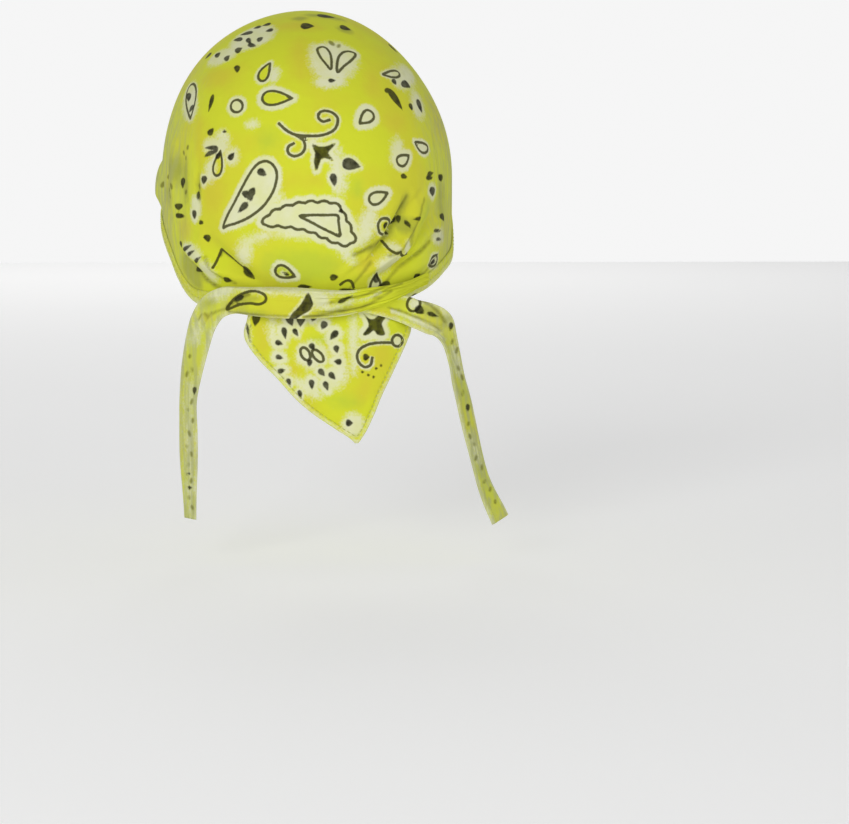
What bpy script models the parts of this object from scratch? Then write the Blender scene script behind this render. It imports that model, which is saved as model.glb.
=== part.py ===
"""A printed cotton head wrap: a domed crown with a folded edge, a pointed back flap and two ties in a half knot."""

import math
from collections import namedtuple

import bmesh
import bpy
from mathutils import Vector

# Cloth and clearances, in metres
CLOTH = 0.0012
HEM_CLOTH = 0.0010
TIE_CLOTH = 0.0016
GAP = 0.0003
LAP_GAP = 0.0005

# Crown, measured over the cloth; the wearer faces -Y and the inside of the top is the origin
HALF_BREADTH = 0.084
REAR_REACH = 0.103
FRONT_REACH = 0.097
WIDEST_DROP = 0.096
EDGE_DROP = 0.166
HEM_HEIGHT = 0.008
CROWN_LEAN = 0.002
TUCK_POWER = 2.2

# Folds and gathers
FOLD_WIDTH = 0.010
FOLD_RISE = 0.0030
FOLD_FADE = 0.008
FOLD_BLUNTNESS = 0.7

# Back flap, below the crown's edge
FLAP_WIDTH = 0.092
FLAP_LENGTH = 0.075
FLAP_LEAN = 0.07
FLAP_HUG = 0.007
FLAP_FLATTENS = 0.55

# Ties
TIE_WIDTH = 0.0165
TIE_DROP = 0.1237
TIE_SPREAD = 0.061
TIE_SETTLE = 0.016
KNOT_THICKNESS = 0.0085

# Mesh steps
FINE_STEP = 3.6
COARSE_STEP = 9.0
FINE_FROM = -82.0
FINE_TO = 98.0
UPPER_ROWS = 8
LOWER_ROWS = 14
UPPER_SHARE = 0.58
SECTION_POINTS = 12
SECTION_ROUNDNESS = 0.6
STEPS_PER_ROW = 3
FLAP_COLUMNS = 12
SEEK_STEPS = 4

# Lower edge round the head: bearing in degrees from the back, towards the wearer's left;
# drop as a share of EDGE_DROP; tuck as the share by which the wall draws in below its widest level
Edge = namedtuple("Edge", "bearing drop tuck")
EDGE = (
    Edge(-180.0, 0.500, 0.000),
    Edge(-135.0, 0.550, 0.000),
    Edge(-108.0, 0.655, 0.000),
    Edge(-95.0, 0.760, 0.010),
    Edge(-84.0, 0.850, 0.015),
    Edge(-70.0, 0.900, 0.050),
    Edge(-55.0, 0.950, 0.065),
    Edge(-38.0, 0.985, 0.090),
    Edge(-15.0, 1.000, 0.140),
    Edge(0.0, 1.000, 0.150),
    Edge(15.0, 1.000, 0.140),
    Edge(36.0, 1.000, 0.110),
    Edge(52.0, 0.996, 0.085),
    Edge(59.0, 0.968, 0.080),
    Edge(65.0, 0.915, 0.075),
    Edge(71.0, 0.850, 0.070),
    Edge(80.0, 0.785, 0.050),
    Edge(93.0, 0.725, 0.030),
    Edge(108.0, 0.650, 0.010),
    Edge(135.0, 0.550, 0.000),
)

# Folds: from the gather outwards; drops are shares of EDGE_DROP, bow is a share of the fold's length,
# width and rise are shares of FOLD_WIDTH and FOLD_RISE, and a negative rise is a crease
Fold = namedtuple("Fold", "bearing drop end_bearing end_drop bow width rise")
FOLDS = (
    Fold(-18.0, 0.84, -45.0, 0.62, 0.09, 0.90, -1.00),
    Fold(-12.0, 0.84, -38.0, 0.60, 0.10, 1.20, 0.50),
    Fold(-28.0, 0.86, -54.0, 0.66, 0.08, 0.90, 0.85),
    Fold(-38.0, 0.80, -64.0, 0.65, 0.05, 0.80, -0.70),
    Fold(-36.0, 0.86, -68.0, 0.70, 0.05, 1.00, 0.70),
    Fold(-29.0, 0.92, -58.0, 0.77, 0.05, 0.70, -0.75),
    Fold(-36.0, 0.92, -68.0, 0.80, 0.04, 0.80, 0.80),
    Fold(-42.0, 0.91, -70.0, 0.84, 0.03, 0.60, -0.50),
    Fold(14.0, 0.89, 36.0, 0.72, -0.06, 1.10, 0.40),
    Fold(21.0, 0.91, 45.0, 0.76, -0.05, 0.90, -0.85),
    Fold(32.0, 0.91, 60.0, 0.77, -0.05, 0.90, 0.80),
    Fold(40.0, 0.92, 66.0, 0.81, -0.04, 0.70, -0.65),
    Fold(60.0, 0.42, 55.0, 0.74, 0.00, 0.80, -0.75),
    Fold(67.0, 0.44, 62.0, 0.73, 0.00, 0.80, 0.50),
    Fold(74.0, 0.47, 70.0, 0.72, 0.00, 0.70, -0.50),
    Fold(87.0, 0.52, 85.0, 0.72, 0.00, 1.20, 1.30),
)

# Flap: drop as a share of FLAP_LENGTH below the crown's edge, sides as shares of FLAP_WIDTH
FlapRow = namedtuple("FlapRow", "drop left right")
FLAP_ROWS = (
    FlapRow(0.00, 0.345, -0.585),
    FlapRow(0.08, 0.355, -0.610),
    FlapRow(0.18, 0.375, -0.612),
    FlapRow(0.26, 0.360, -0.590),
    FlapRow(0.38, 0.290, -0.545),
    FlapRow(0.52, 0.180, -0.490),
    FlapRow(0.66, 0.080, -0.435),
    FlapRow(0.78, -0.030, -0.395),
    FlapRow(0.90, -0.170, -0.350),
    FlapRow(0.97, -0.255, -0.315),
    FlapRow(1.00, -0.277, -0.297),
)

# Ties where they lie on the crown: drop as a share of EDGE_DROP, cloths and ties as the layers between
# the tie and the crown, width as a share of TIE_WIDTH, body as a share of KNOT_THICKNESS
LayRow = namedtuple("LayRow", "bearing drop cloths ties width body")
OVER_LAY = (
    LayRow(-54.0, 0.914, 0.65, 0.0, 0.42, 0.0),
    LayRow(-47.0, 0.926, 1.0, 0.1, 0.42, 0.0),
    LayRow(-40.0, 0.939, 1.9, 0.7, 0.48, 0.0),
    LayRow(-32.0, 0.956, 2.2, 1.2, 0.62, 0.1),
    LayRow(-24.0, 0.970, 2.1, 1.1, 0.76, 0.2),
    LayRow(-16.0, 0.982, 2.0, 1.0, 0.88, 0.4),
    LayRow(-7.0, 0.984, 2.0, 1.0, 0.98, 0.7),
    LayRow(3.0, 0.982, 2.0, 1.0, 1.06, 1.0),
    LayRow(13.0, 0.980, 2.0, 1.0, 1.06, 1.0),
    LayRow(22.0, 0.978, 2.0, 1.0, 1.00, 0.7),
    LayRow(30.0, 0.976, 2.0, 1.1, 0.96, 0.3),
)
UNDER_LAY = (
    LayRow(40.0, 0.966, 0.65, 0.0, 0.42, 0.0),
    LayRow(34.0, 0.968, 1.4, 0.0, 0.50, 0.0),
    LayRow(26.0, 0.970, 1.9, 0.0, 0.58, 0.0),
    LayRow(12.0, 0.972, 1.9, 0.0, 0.62, 0.0),
    LayRow(-6.0, 0.974, 1.9, 0.0, 0.66, 0.0),
    LayRow(-20.0, 0.978, 1.9, 0.0, 0.74, 0.0),
    LayRow(-31.0, 0.990, 2.1, 0.0, 0.84, 0.0),
    LayRow(-40.0, 1.009, 2.3, 0.0, 0.92, 0.0),
)

# Ties where they hang free, measured from where they leave the crown: across as a share of TIE_SPREAD,
# drop of TIE_DROP, settle of TIE_SETTLE towards the wearer, turn in degrees of the strap's face away
# from straight back, width as a share of TIE_WIDTH
HangRow = namedtuple("HangRow", "across drop settle turn width")
OVER_HANG = (
    HangRow(0.100, 0.010, 0.06, 20.0, 0.97),
    HangRow(0.192, 0.041, 0.28, 24.0, 1.00),
    HangRow(0.270, 0.104, 0.52, 30.0, 1.00),
    HangRow(0.323, 0.190, 0.75, 35.0, 1.00),
    HangRow(0.382, 0.325, 0.92, 42.0, 1.00),
    HangRow(0.418, 0.460, 1.00, 46.0, 1.00),
    HangRow(0.418, 0.595, 1.00, 46.0, 1.00),
    HangRow(0.415, 0.775, 0.98, 48.0, 1.00),
    HangRow(0.405, 1.000, 0.95, 54.0, 0.92),
)
UNDER_HANG = (
    HangRow(-0.105, 0.022, 0.02, -24.0, 0.95),
    HangRow(-0.244, 0.046, 0.14, -20.0, 1.04),
    HangRow(-0.372, 0.082, 0.26, -20.0, 1.04),
    HangRow(-0.452, 0.148, 0.34, -40.0, 1.00),
    HangRow(-0.488, 0.242, 0.36, -56.0, 1.00),
    HangRow(-0.520, 0.332, 0.36, -56.0, 1.00),
    HangRow(-0.570, 0.422, 0.36, -54.0, 1.00),
    HangRow(-0.655, 0.602, 0.36, -52.0, 1.00),
    HangRow(-0.765, 0.805, 0.36, -50.0, 1.00),
    HangRow(-0.915, 0.950, 0.36, -46.0, 0.92),
)

COTTON_ROUGHNESS = 0.85
CROWN_COLOUR = (0.60, 0.63, 0.10)
BAND_COLOUR = (0.62, 0.65, 0.14)
FLAP_COLOUR = (0.60, 0.65, 0.07)
TIE_COLOUR = (0.63, 0.68, 0.05)

FULL_TURN = 360.0
LEAN_PEAK = 27 / 256
QUARTER = math.pi / 2
PROBE_TURN = 0.5
PROBE_DROP = 0.0005


def eased(keys, values, at):
    """The value at a place between keys, on a smooth curve through them."""
    last = len(keys) - 1
    i = 0
    while i < last - 1 and keys[i + 1] <= at:
        i += 1
    span = keys[i + 1] - keys[i]
    t = min(max((at - keys[i]) / span, 0.0), 1.0)

    def slope(k):
        before = max(k - 1, 0)
        after = min(k + 1, last)
        return (values[after] - values[before]) / (keys[after] - keys[before])

    square = t * t
    cube = square * t
    return (
        values[i] * (2 * cube - 3 * square + 1)
        + slope(i) * span * (cube - 2 * square + t)
        + values[i + 1] * (3 * square - 2 * cube)
        + slope(i + 1) * span * (cube - square)
    )


def round_head(at, column):
    """A column of EDGE at any bearing."""
    before = [row._replace(bearing=row.bearing - FULL_TURN) for row in EDGE[-2:]]
    after = [row._replace(bearing=row.bearing + FULL_TURN) for row in EDGE[:2]]
    rows = before + list(EDGE) + after
    return eased([row.bearing for row in rows], [getattr(row, column) for row in rows], at)


def edge_drop(bearing):
    """How far below the top the crown's edge lies at a bearing."""
    return EDGE_DROP * round_head(bearing, "drop")


def fold_rise(bearing, drop):
    """How far the folds lift the cloth at a place on the crown."""
    flat_from = edge_drop(bearing) - HEM_HEIGHT - FOLD_FADE / 2
    fade = min(max((flat_from - drop) / FOLD_FADE, 0.0), 1.0)
    here = Vector((HALF_BREADTH * math.radians(bearing), drop))
    rise = 0.0
    for fold in FOLDS:
        start = Vector((HALF_BREADTH * math.radians(fold.bearing), fold.drop * EDGE_DROP))
        end = Vector((HALF_BREADTH * math.radians(fold.end_bearing), fold.end_drop * EDGE_DROP))
        length = (end - start).length
        along = (end - start) / length
        t = (here - start).dot(along) / length
        if t <= 0 or t >= 1:
            continue
        side = (here - start).dot(Vector((along.y, -along.x)))
        off = (side - fold.bow * length * 4 * t * (1 - t)) / (fold.width * FOLD_WIDTH)
        if abs(off) < 1:
            rise += fold.rise * math.cos(off * QUARTER) ** 2 * math.sin(math.pi * t) ** FOLD_BLUNTNESS
    return FOLD_RISE * rise * fade


def bare_wall(bearing, drop):
    """A point of the crown's outer face with no folds in it."""
    angle = math.radians(bearing)
    if drop < WIDEST_DROP:
        girth = math.sqrt(max(1 - (1 - drop / WIDEST_DROP) ** 2, 0.0))
    else:
        lower = (drop - WIDEST_DROP) / (EDGE_DROP - WIDEST_DROP)
        girth = 1 - round_head(bearing, "tuck") * lower**TUCK_POWER
    reach = REAR_REACH if math.cos(angle) > 0 else FRONT_REACH
    upper = min(drop / WIDEST_DROP, 1.0)
    lean = CROWN_LEAN * upper * (1 - upper) ** 3 / LEAN_PEAK
    return Vector(
        (
            HALF_BREADTH * math.sin(angle) * girth + lean,
            reach * math.cos(angle) * girth,
            CLOTH - drop,
        )
    )


def wall_normal(bearing, drop):
    """The outward direction of the crown's wall at a place."""
    low = max(drop, 2 * PROBE_DROP)
    round_way = bare_wall(bearing + PROBE_TURN, low) - bare_wall(bearing - PROBE_TURN, low)
    down_way = bare_wall(bearing, low + PROBE_DROP) - bare_wall(bearing, low - PROBE_DROP)
    return round_way.cross(down_way).normalized()


def wall(bearing, drop, lift=0.0):
    """A point on the crown's outer face, folds included, or lifted off it."""
    rise = fold_rise(bearing, drop) + lift
    return bare_wall(bearing, drop) + wall_normal(bearing, drop) * rise


def path_length(drop):
    """How far down the cloth a drop lies, from the top."""
    if drop < WIDEST_DROP:
        return WIDEST_DROP * math.acos(1 - drop / WIDEST_DROP)
    return WIDEST_DROP * QUARTER + drop - WIDEST_DROP


def drop_at(length):
    """The drop at a distance down the cloth from the top."""
    if length < WIDEST_DROP * QUARTER:
        return WIDEST_DROP * (1 - math.cos(length / WIDEST_DROP))
    return length - WIDEST_DROP * QUARTER + WIDEST_DROP


def bearings():
    """The bearings of the crown's columns, close together where the folds are."""
    fine = round((FINE_TO - FINE_FROM) / FINE_STEP)
    coarse = round((FULL_TURN - FINE_TO + FINE_FROM) / COARSE_STEP)
    found = [FINE_FROM + (FINE_TO - FINE_FROM) * i / fine for i in range(fine)]
    left = FULL_TURN - FINE_TO + FINE_FROM
    for i in range(coarse):
        at = FINE_TO + left * i / coarse
        found.append(at - FULL_TURN if at > 180 else at)
    return found


def row_drops(bearing):
    """The drops of the crown's rows at a bearing, ending on the band's own levels and the edge."""
    edge = edge_drop(bearing)
    total = path_length(edge - HEM_HEIGHT)
    shares = [UPPER_SHARE * (i + 1) / UPPER_ROWS for i in range(UPPER_ROWS)]
    shares += [UPPER_SHARE + (1 - UPPER_SHARE) * (i + 1) / LOWER_ROWS for i in range(LOWER_ROWS)]
    return [drop_at(total * share) for share in shares] + [edge - HEM_HEIGHT / 2, edge]


def cotton(name, colour):
    """A matt woven cotton finish."""
    material = bpy.data.materials.new(name)
    material.use_nodes = True
    shader = material.node_tree.nodes["Principled BSDF"]
    shader.inputs["Base Color"].default_value = (*colour, 1.0)
    shader.inputs["Roughness"].default_value = COTTON_ROUGHNESS
    shader.inputs["Metallic"].default_value = 0.0
    material.diffuse_color = (*colour, 1.0)
    return material


def add_piece(name, points, faces, colour, collection):
    """An object from points and faces, with its own finish."""
    mesh = bpy.data.meshes.new(name)
    mesh.from_pydata([tuple(point) for point in points], [], faces)
    shape = bmesh.new()
    shape.from_mesh(mesh)
    bmesh.ops.recalc_face_normals(shape, faces=shape.faces)
    shape.to_mesh(mesh)
    shape.free()
    mesh.materials.append(cotton(name + "_cotton", colour))
    piece = bpy.data.objects.new(name, mesh)
    collection.objects.link(piece)
    return piece


def thicken(piece, thickness, side):
    """Gives an open sheet its cloth thickness, inwards where side is -1 and outwards where it is 1."""
    modifier = piece.modifiers.new("cloth_thickness", "SOLIDIFY")
    modifier.thickness = thickness
    modifier.offset = side
    modifier.use_even_offset = True
    modifier.use_quality_normals = True


def ring_faces(rings, size, closed):
    """Quads between following rings of points, round each ring, and round the rings too where closed."""
    faces = []
    for i in range(rings if closed else rings - 1):
        for j in range(size):
            here = i * size
            after = (i + 1) % rings * size
            across = (j + 1) % size
            faces.append((here + j, here + across, after + across, after + j))
    return faces


def build_crown(collection):
    """The domed cloth: one wall over the head, open below."""
    columns = bearings()
    points = [Vector((0.0, 0.0, CLOTH))]
    for bearing in columns:
        points += [wall(bearing, drop) for drop in row_drops(bearing)]
    rows = (len(points) - 1) // len(columns)
    faces = []
    for i in range(len(columns)):
        here = 1 + i * rows
        after = 1 + (i + 1) % len(columns) * rows
        faces.append((0, here, after))
        faces += [(here + j, here + j + 1, after + j + 1, after + j) for j in range(rows - 1)]
    piece = add_piece("crown", points, faces, CROWN_COLOUR, collection)
    thicken(piece, CLOTH, -1)


def hem_section():
    """The folded band's section: distance below the crown's edge and lift off its outer face."""
    outer = GAP + HEM_CLOTH
    inner = -CLOTH - 2 * GAP
    deep = inner - HEM_CLOTH
    fold = LAP_GAP + HEM_CLOTH
    return (
        (-HEM_HEIGHT, GAP),
        (-HEM_HEIGHT, outer),
        (-HEM_HEIGHT / 2, outer),
        (0.0, outer),
        (fold, GAP),
        (fold, inner),
        (0.0, deep),
        (-HEM_HEIGHT / 2, deep),
        (-HEM_HEIGHT / 2, inner),
        (0.0, inner),
        (LAP_GAP, inner + GAP),
        (LAP_GAP, 0.0),
        (0.0, GAP),
        (-HEM_HEIGHT / 2, GAP),
    )


def build_edge_band(collection):
    """The folded hem that holds the crown's lower edge all round."""
    section = hem_section()
    columns = bearings()
    points = []
    for bearing in columns:
        edge = edge_drop(bearing)
        points += [wall(bearing, edge + below, lift) for below, lift in section]
    faces = ring_faces(len(columns), len(section), True)
    add_piece("edge_band", points, faces, BAND_COLOUR, collection)


def build_back_flap(collection):
    """The pointed cloth that hangs from the crown's back edge, under the knot."""
    lift = GAP + HEM_CLOTH + LAP_GAP
    edge = edge_drop(0.0)
    middle = wall(0.0, edge, lift).y
    slope = (middle - wall(0.0, edge - HEM_HEIGHT, lift).y) / HEM_HEIGHT

    def at_edge(across, drop):
        bearing = 0.0
        for _ in range(SEEK_STEPS):
            girth = 1 - round_head(bearing, "tuck")
            bearing = math.degrees(math.asin(max(min(across / (HALF_BREADTH * girth), 1.0), -1.0)))
        return wall(bearing, drop, lift)

    points = []
    for drop in (edge - HEM_HEIGHT, edge - HEM_HEIGHT / 2):
        for j in range(FLAP_COLUMNS + 1):
            top = FLAP_ROWS[0]
            share = top.left + (top.right - top.left) * j / FLAP_COLUMNS
            points.append(at_edge(share * FLAP_WIDTH, drop))
    for row in FLAP_ROWS:
        for j in range(FLAP_COLUMNS + 1):
            share = row.left + (row.right - row.left) * j / FLAP_COLUMNS
            across = share * FLAP_WIDTH
            start = at_edge(across, edge)
            below = row.drop * FLAP_LENGTH
            sag = (middle - start.y) * (1 - FLAP_FLATTENS * row.drop)
            press = FLAP_HUG * (1 - math.exp(-below / FLAP_HUG))
            back = middle - sag + FLAP_LEAN * below + slope * press
            points.append(Vector((start.x, back, start.z - below)))
    rows = len(points) // (FLAP_COLUMNS + 1)
    faces = []
    for i in range(rows - 1):
        for j in range(FLAP_COLUMNS):
            here = i * (FLAP_COLUMNS + 1) + j
            after = here + FLAP_COLUMNS + 1
            faces.append((here, after, after + 1, here + 1))
    piece = add_piece("back_flap", points, faces, FLAP_COLOUR, collection)
    if piece.data.polygons[0].normal.y < 0:
        piece.data.flip_normals()
    thicken(piece, CLOTH, 1)


Station = namedtuple("Station", "centre face width thickness")


def laid(row):
    """A station of a tie where it lies on the crown."""
    drop = row.drop * EDGE_DROP
    body = max(row.body * KNOT_THICKNESS, TIE_CLOTH)
    lift = LAP_GAP + row.cloths * (CLOTH + LAP_GAP) + row.ties * (TIE_CLOTH + LAP_GAP) + body / 2
    face = wall_normal(row.bearing, drop)
    level = Vector((face.x, face.y, 0.0))
    centre = bare_wall(row.bearing, drop) + level * (lift / level.length_squared)
    return Station(centre, face, row.width * TIE_WIDTH, body)


def hung(row, leaving):
    """A station of a tie where it hangs free, from the place where it leaves the crown."""
    turn = math.radians(row.turn)
    offset = Vector((row.across * TIE_SPREAD, -row.settle * TIE_SETTLE, -row.drop * TIE_DROP))
    face = Vector((math.sin(turn), math.cos(turn), 0.0))
    return Station(leaving + offset, face, row.width * TIE_WIDTH, TIE_CLOTH)


def between(stations):
    """More stations on a smooth path through the given ones."""
    keys = list(range(len(stations)))
    found = []
    for i in range((len(stations) - 1) * STEPS_PER_ROW + 1):
        at = i / STEPS_PER_ROW
        centre = Vector([eased(keys, [s.centre[axis] for s in stations], at) for axis in range(3)])
        face = Vector([eased(keys, [s.face[axis] for s in stations], at) for axis in range(3)])
        width = eased(keys, [s.width for s in stations], at)
        thickness = eased(keys, [s.thickness for s in stations], at)
        found.append(Station(centre, face.normalized(), width, max(thickness, TIE_CLOTH)))
    return found


def build_tie(name, lay, hang, collection):
    """A folded cotton strap from its seat on the edge band, through the knot, to its free end."""
    seated = [laid(row) for row in lay]
    free = [hung(row, seated[-1].centre) for row in hang]
    stations = between(seated + free)
    points = []
    for i, station in enumerate(stations):
        before = stations[max(i - 1, 0)].centre
        after = stations[min(i + 1, len(stations) - 1)].centre
        along = (after - before).normalized()
        face = (station.face - along * station.face.dot(along)).normalized()
        across = along.cross(face)
        for j in range(SECTION_POINTS):
            angle = 2 * math.pi * (j + 0.5) / SECTION_POINTS
            wide = math.copysign(abs(math.cos(angle)) ** SECTION_ROUNDNESS, math.cos(angle))
            deep = math.copysign(abs(math.sin(angle)) ** SECTION_ROUNDNESS, math.sin(angle))
            points.append(
                station.centre
                + across * (wide * station.width / 2)
                + face * (deep * station.thickness / 2)
            )
    faces = ring_faces(len(stations), SECTION_POINTS, False)
    faces.append(tuple(range(SECTION_POINTS)))
    faces.append(tuple(range(len(points) - SECTION_POINTS, len(points))))
    add_piece(name, points, faces, TIE_COLOUR, collection)


def main():
    for found in list(bpy.data.objects):
        bpy.data.objects.remove(found)
    wrap = bpy.data.collections.new("head_wrap")
    bpy.context.scene.collection.children.link(wrap)
    build_crown(wrap)
    build_edge_band(wrap)
    build_back_flap(wrap)
    build_tie("over_tie", OVER_LAY, OVER_HANG, wrap)
    build_tie("under_tie", UNDER_LAY, UNDER_HANG, wrap)


main()
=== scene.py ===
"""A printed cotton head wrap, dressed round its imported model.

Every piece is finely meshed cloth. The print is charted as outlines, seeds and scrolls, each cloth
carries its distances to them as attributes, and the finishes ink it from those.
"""

import logging
import math
from dataclasses import dataclass, field
from enum import Enum
from typing import Callable, Iterable, NamedTuple, Sequence

import bpy
import numpy as np
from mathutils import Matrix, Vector


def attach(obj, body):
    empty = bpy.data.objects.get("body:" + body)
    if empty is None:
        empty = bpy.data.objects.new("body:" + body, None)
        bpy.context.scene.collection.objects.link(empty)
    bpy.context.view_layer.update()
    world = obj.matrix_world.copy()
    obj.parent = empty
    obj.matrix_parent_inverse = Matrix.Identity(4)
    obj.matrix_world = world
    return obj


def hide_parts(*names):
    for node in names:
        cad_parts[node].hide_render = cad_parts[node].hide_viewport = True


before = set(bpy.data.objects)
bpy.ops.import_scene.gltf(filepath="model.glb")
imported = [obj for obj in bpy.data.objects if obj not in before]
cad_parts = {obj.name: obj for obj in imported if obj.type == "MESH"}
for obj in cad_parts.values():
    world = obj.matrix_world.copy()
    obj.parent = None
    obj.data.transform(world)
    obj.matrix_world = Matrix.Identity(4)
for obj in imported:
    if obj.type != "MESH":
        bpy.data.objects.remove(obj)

LOG = logging.getLogger("head_wrap")
Points = np.ndarray
Colour = tuple[float, float, float]
Place = tuple[float, float, float]
Finish = bpy.types.Material
Socket = bpy.types.NodeSocket
FAR = 20.0
DROP_TAPER = 1.15
SEED_STEPS, SEED_SOFT = 24, 2.4
MARK_WIDTH, MARK_HEIGHT, MARK_SOFT = 2.5, 5.6, 1.1
MARK_GROWS, MARK_TURNS = 1.2, 16.0


def each(kind: Callable, *rows: Sequence[float]) -> tuple:
    """Rows of one kind, each from its own numbers."""
    return tuple(kind(*row) for row in rows)


def column(rows: Iterable[NamedTuple], name: str) -> Points:
    """One column of a table."""
    return np.array([getattr(row, name) for row in rows])


class RimRow(NamedTuple):
    """The crown's lower edge at a bearing: its drop as a share, and how far the wall draws in."""

    bearing: float
    drop: float
    tuck: float


RIM = each(
    RimRow,
    (-180, 0.5, 0), (-135, 0.55, 0), (-108, 0.655, 0), (-95, 0.76, 0.01), (-84, 0.85, 0.015),
    (-70, 0.9, 0.05), (-55, 0.95, 0.065), (-38, 0.985, 0.09), (-15, 1, 0.14), (0, 1, 0.15), (15, 1, 0.14),
    (36, 1, 0.11), (52, 0.996, 0.085), (59, 0.968, 0.08), (65, 0.915, 0.075), (71, 0.85, 0.07),
    (80, 0.785, 0.05), (93, 0.725, 0.03), (108, 0.65, 0.01), (135, 0.55, 0),
)


class FoldRow(NamedTuple):
    """A fold in the crown, from its gather outwards. A negative rise is a crease."""

    bearing: float
    drop: float
    end_bearing: float
    end_drop: float
    bow: float
    width: float
    rise: float


FOLDS = each(
    FoldRow,
    (-18, 0.84, -45, 0.62, 0.09, 0.9, -1), (-12, 0.84, -38, 0.6, 0.1, 1.2, 0.5),
    (-28, 0.86, -54, 0.66, 0.08, 0.9, 0.85), (-38, 0.8, -64, 0.65, 0.05, 0.8, -0.7),
    (-36, 0.86, -68, 0.7, 0.05, 1, 0.7), (-29, 0.92, -58, 0.77, 0.05, 0.7, -0.75),
    (-36, 0.92, -68, 0.8, 0.04, 0.8, 0.8), (-42, 0.91, -70, 0.84, 0.03, 0.6, -0.5),
    (14, 0.89, 36, 0.72, -0.06, 1.1, 0.4), (21, 0.91, 45, 0.76, -0.05, 0.9, -0.85),
    (32, 0.91, 60, 0.77, -0.05, 0.9, 0.8), (40, 0.92, 66, 0.81, -0.04, 0.7, -0.65),
    (60, 0.42, 55, 0.74, 0, 0.8, -0.75), (67, 0.44, 62, 0.73, 0, 0.8, 0.5),
    (74, 0.47, 70, 0.72, 0, 0.7, -0.5), (87, 0.52, 85, 0.72, 0, 1.2, 1.3),
    (-15, 0.9, -41, 0.63, 0.1, 0.34, -1.05), (-20, 0.91, -49, 0.66, 0.08, 0.4, 0.75),
    (-24, 0.93, -57, 0.7, 0.06, 0.32, -0.85), (-14, 0.92, -32, 0.74, 0.06, 0.35, 0.65),
    (-32, 0.9, -63, 0.73, 0.05, 0.32, -0.7), (-34, 0.94, -70, 0.78, 0.04, 0.35, 0.6),
    (-30, 0.95, -64, 0.85, 0.03, 0.3, -0.45), (-8, 0.93, -22, 0.82, 0.04, 0.4, 0.35),
    (-40, 0.7, -52, 0.6, 0, 0.4, -0.4), (16, 0.93, 38, 0.82, -0.04, 0.32, -0.7),
    (24, 0.93, 52, 0.8, -0.05, 0.35, 0.6), (34, 0.95, 56, 0.86, -0.03, 0.3, -0.4),
    (47, 0.5, 46, 0.72, 0.01, 0.35, -0.35), (58, 0.5, 52, 0.8, 0.01, 0.35, 0.35),
    (63, 0.4, 59, 0.7, 0.01, 0.3, -0.4), (71, 0.48, 66, 0.78, -0.01, 0.3, -0.4),
    (80, 0.5, 77, 0.74, 0.01, 0.35, -0.45), (-62, 0.4, -66, 0.7, 0.01, 0.45, -0.35),
    (-72, 0.42, -76, 0.78, -0.01, 0.4, 0.3), (-80, 0.5, -82, 0.8, 0, 0.45, -0.3),
)


def smooth_through(keys: Points, values: Points, at: Points) -> Points:
    """A smooth curve through given values.

    Args:
        keys: Where the values are given, rising.
        values: The values there.
        at: Where to read the curve.

    Returns:
        The curve's values.
    """
    slopes = np.empty(len(keys))
    slopes[1:-1] = (values[2:] - values[:-2]) / (keys[2:] - keys[:-2])
    slopes[0] = (values[1] - values[0]) / (keys[1] - keys[0])
    slopes[-1] = (values[-1] - values[-2]) / (keys[-1] - keys[-2])
    place = np.clip(np.searchsorted(keys, at, side="right") - 1, 0, len(keys) - 2)
    span = keys[place + 1] - keys[place]
    t = np.clip((at - keys[place]) / span, 0.0, 1.0)
    square, cube = t * t, t * t * t
    return (
        values[place] * (2 * cube - 3 * square + 1)
        + slopes[place] * span * (cube - 2 * square + t)
        + values[place + 1] * (3 * square - 2 * cube)
        + slopes[place + 1] * span * (cube - square)
    )


def smooth_line(keys: Points, points: Points, at: Points) -> Points:
    """A smooth line through given points, read at places along it."""
    return np.stack([smooth_through(keys, points[:, axis], at) for axis in range(3)], axis=-1)


def run_along(line: Points) -> Points:
    """How far along a line each of its points lies."""
    return np.concatenate([[0.0], np.cumsum(np.linalg.norm(np.diff(line, axis=0), axis=1))])


def unit(vectors: Points) -> Points:
    """The vectors at length one."""
    return vectors / np.maximum(np.linalg.norm(vectors, axis=-1, keepdims=True), 1e-12)


def from_back(bearing: Points) -> Points:
    """Bearings brought within half a turn of the back."""
    return (np.asarray(bearing, float) + 180) % 360 - 180


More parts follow.
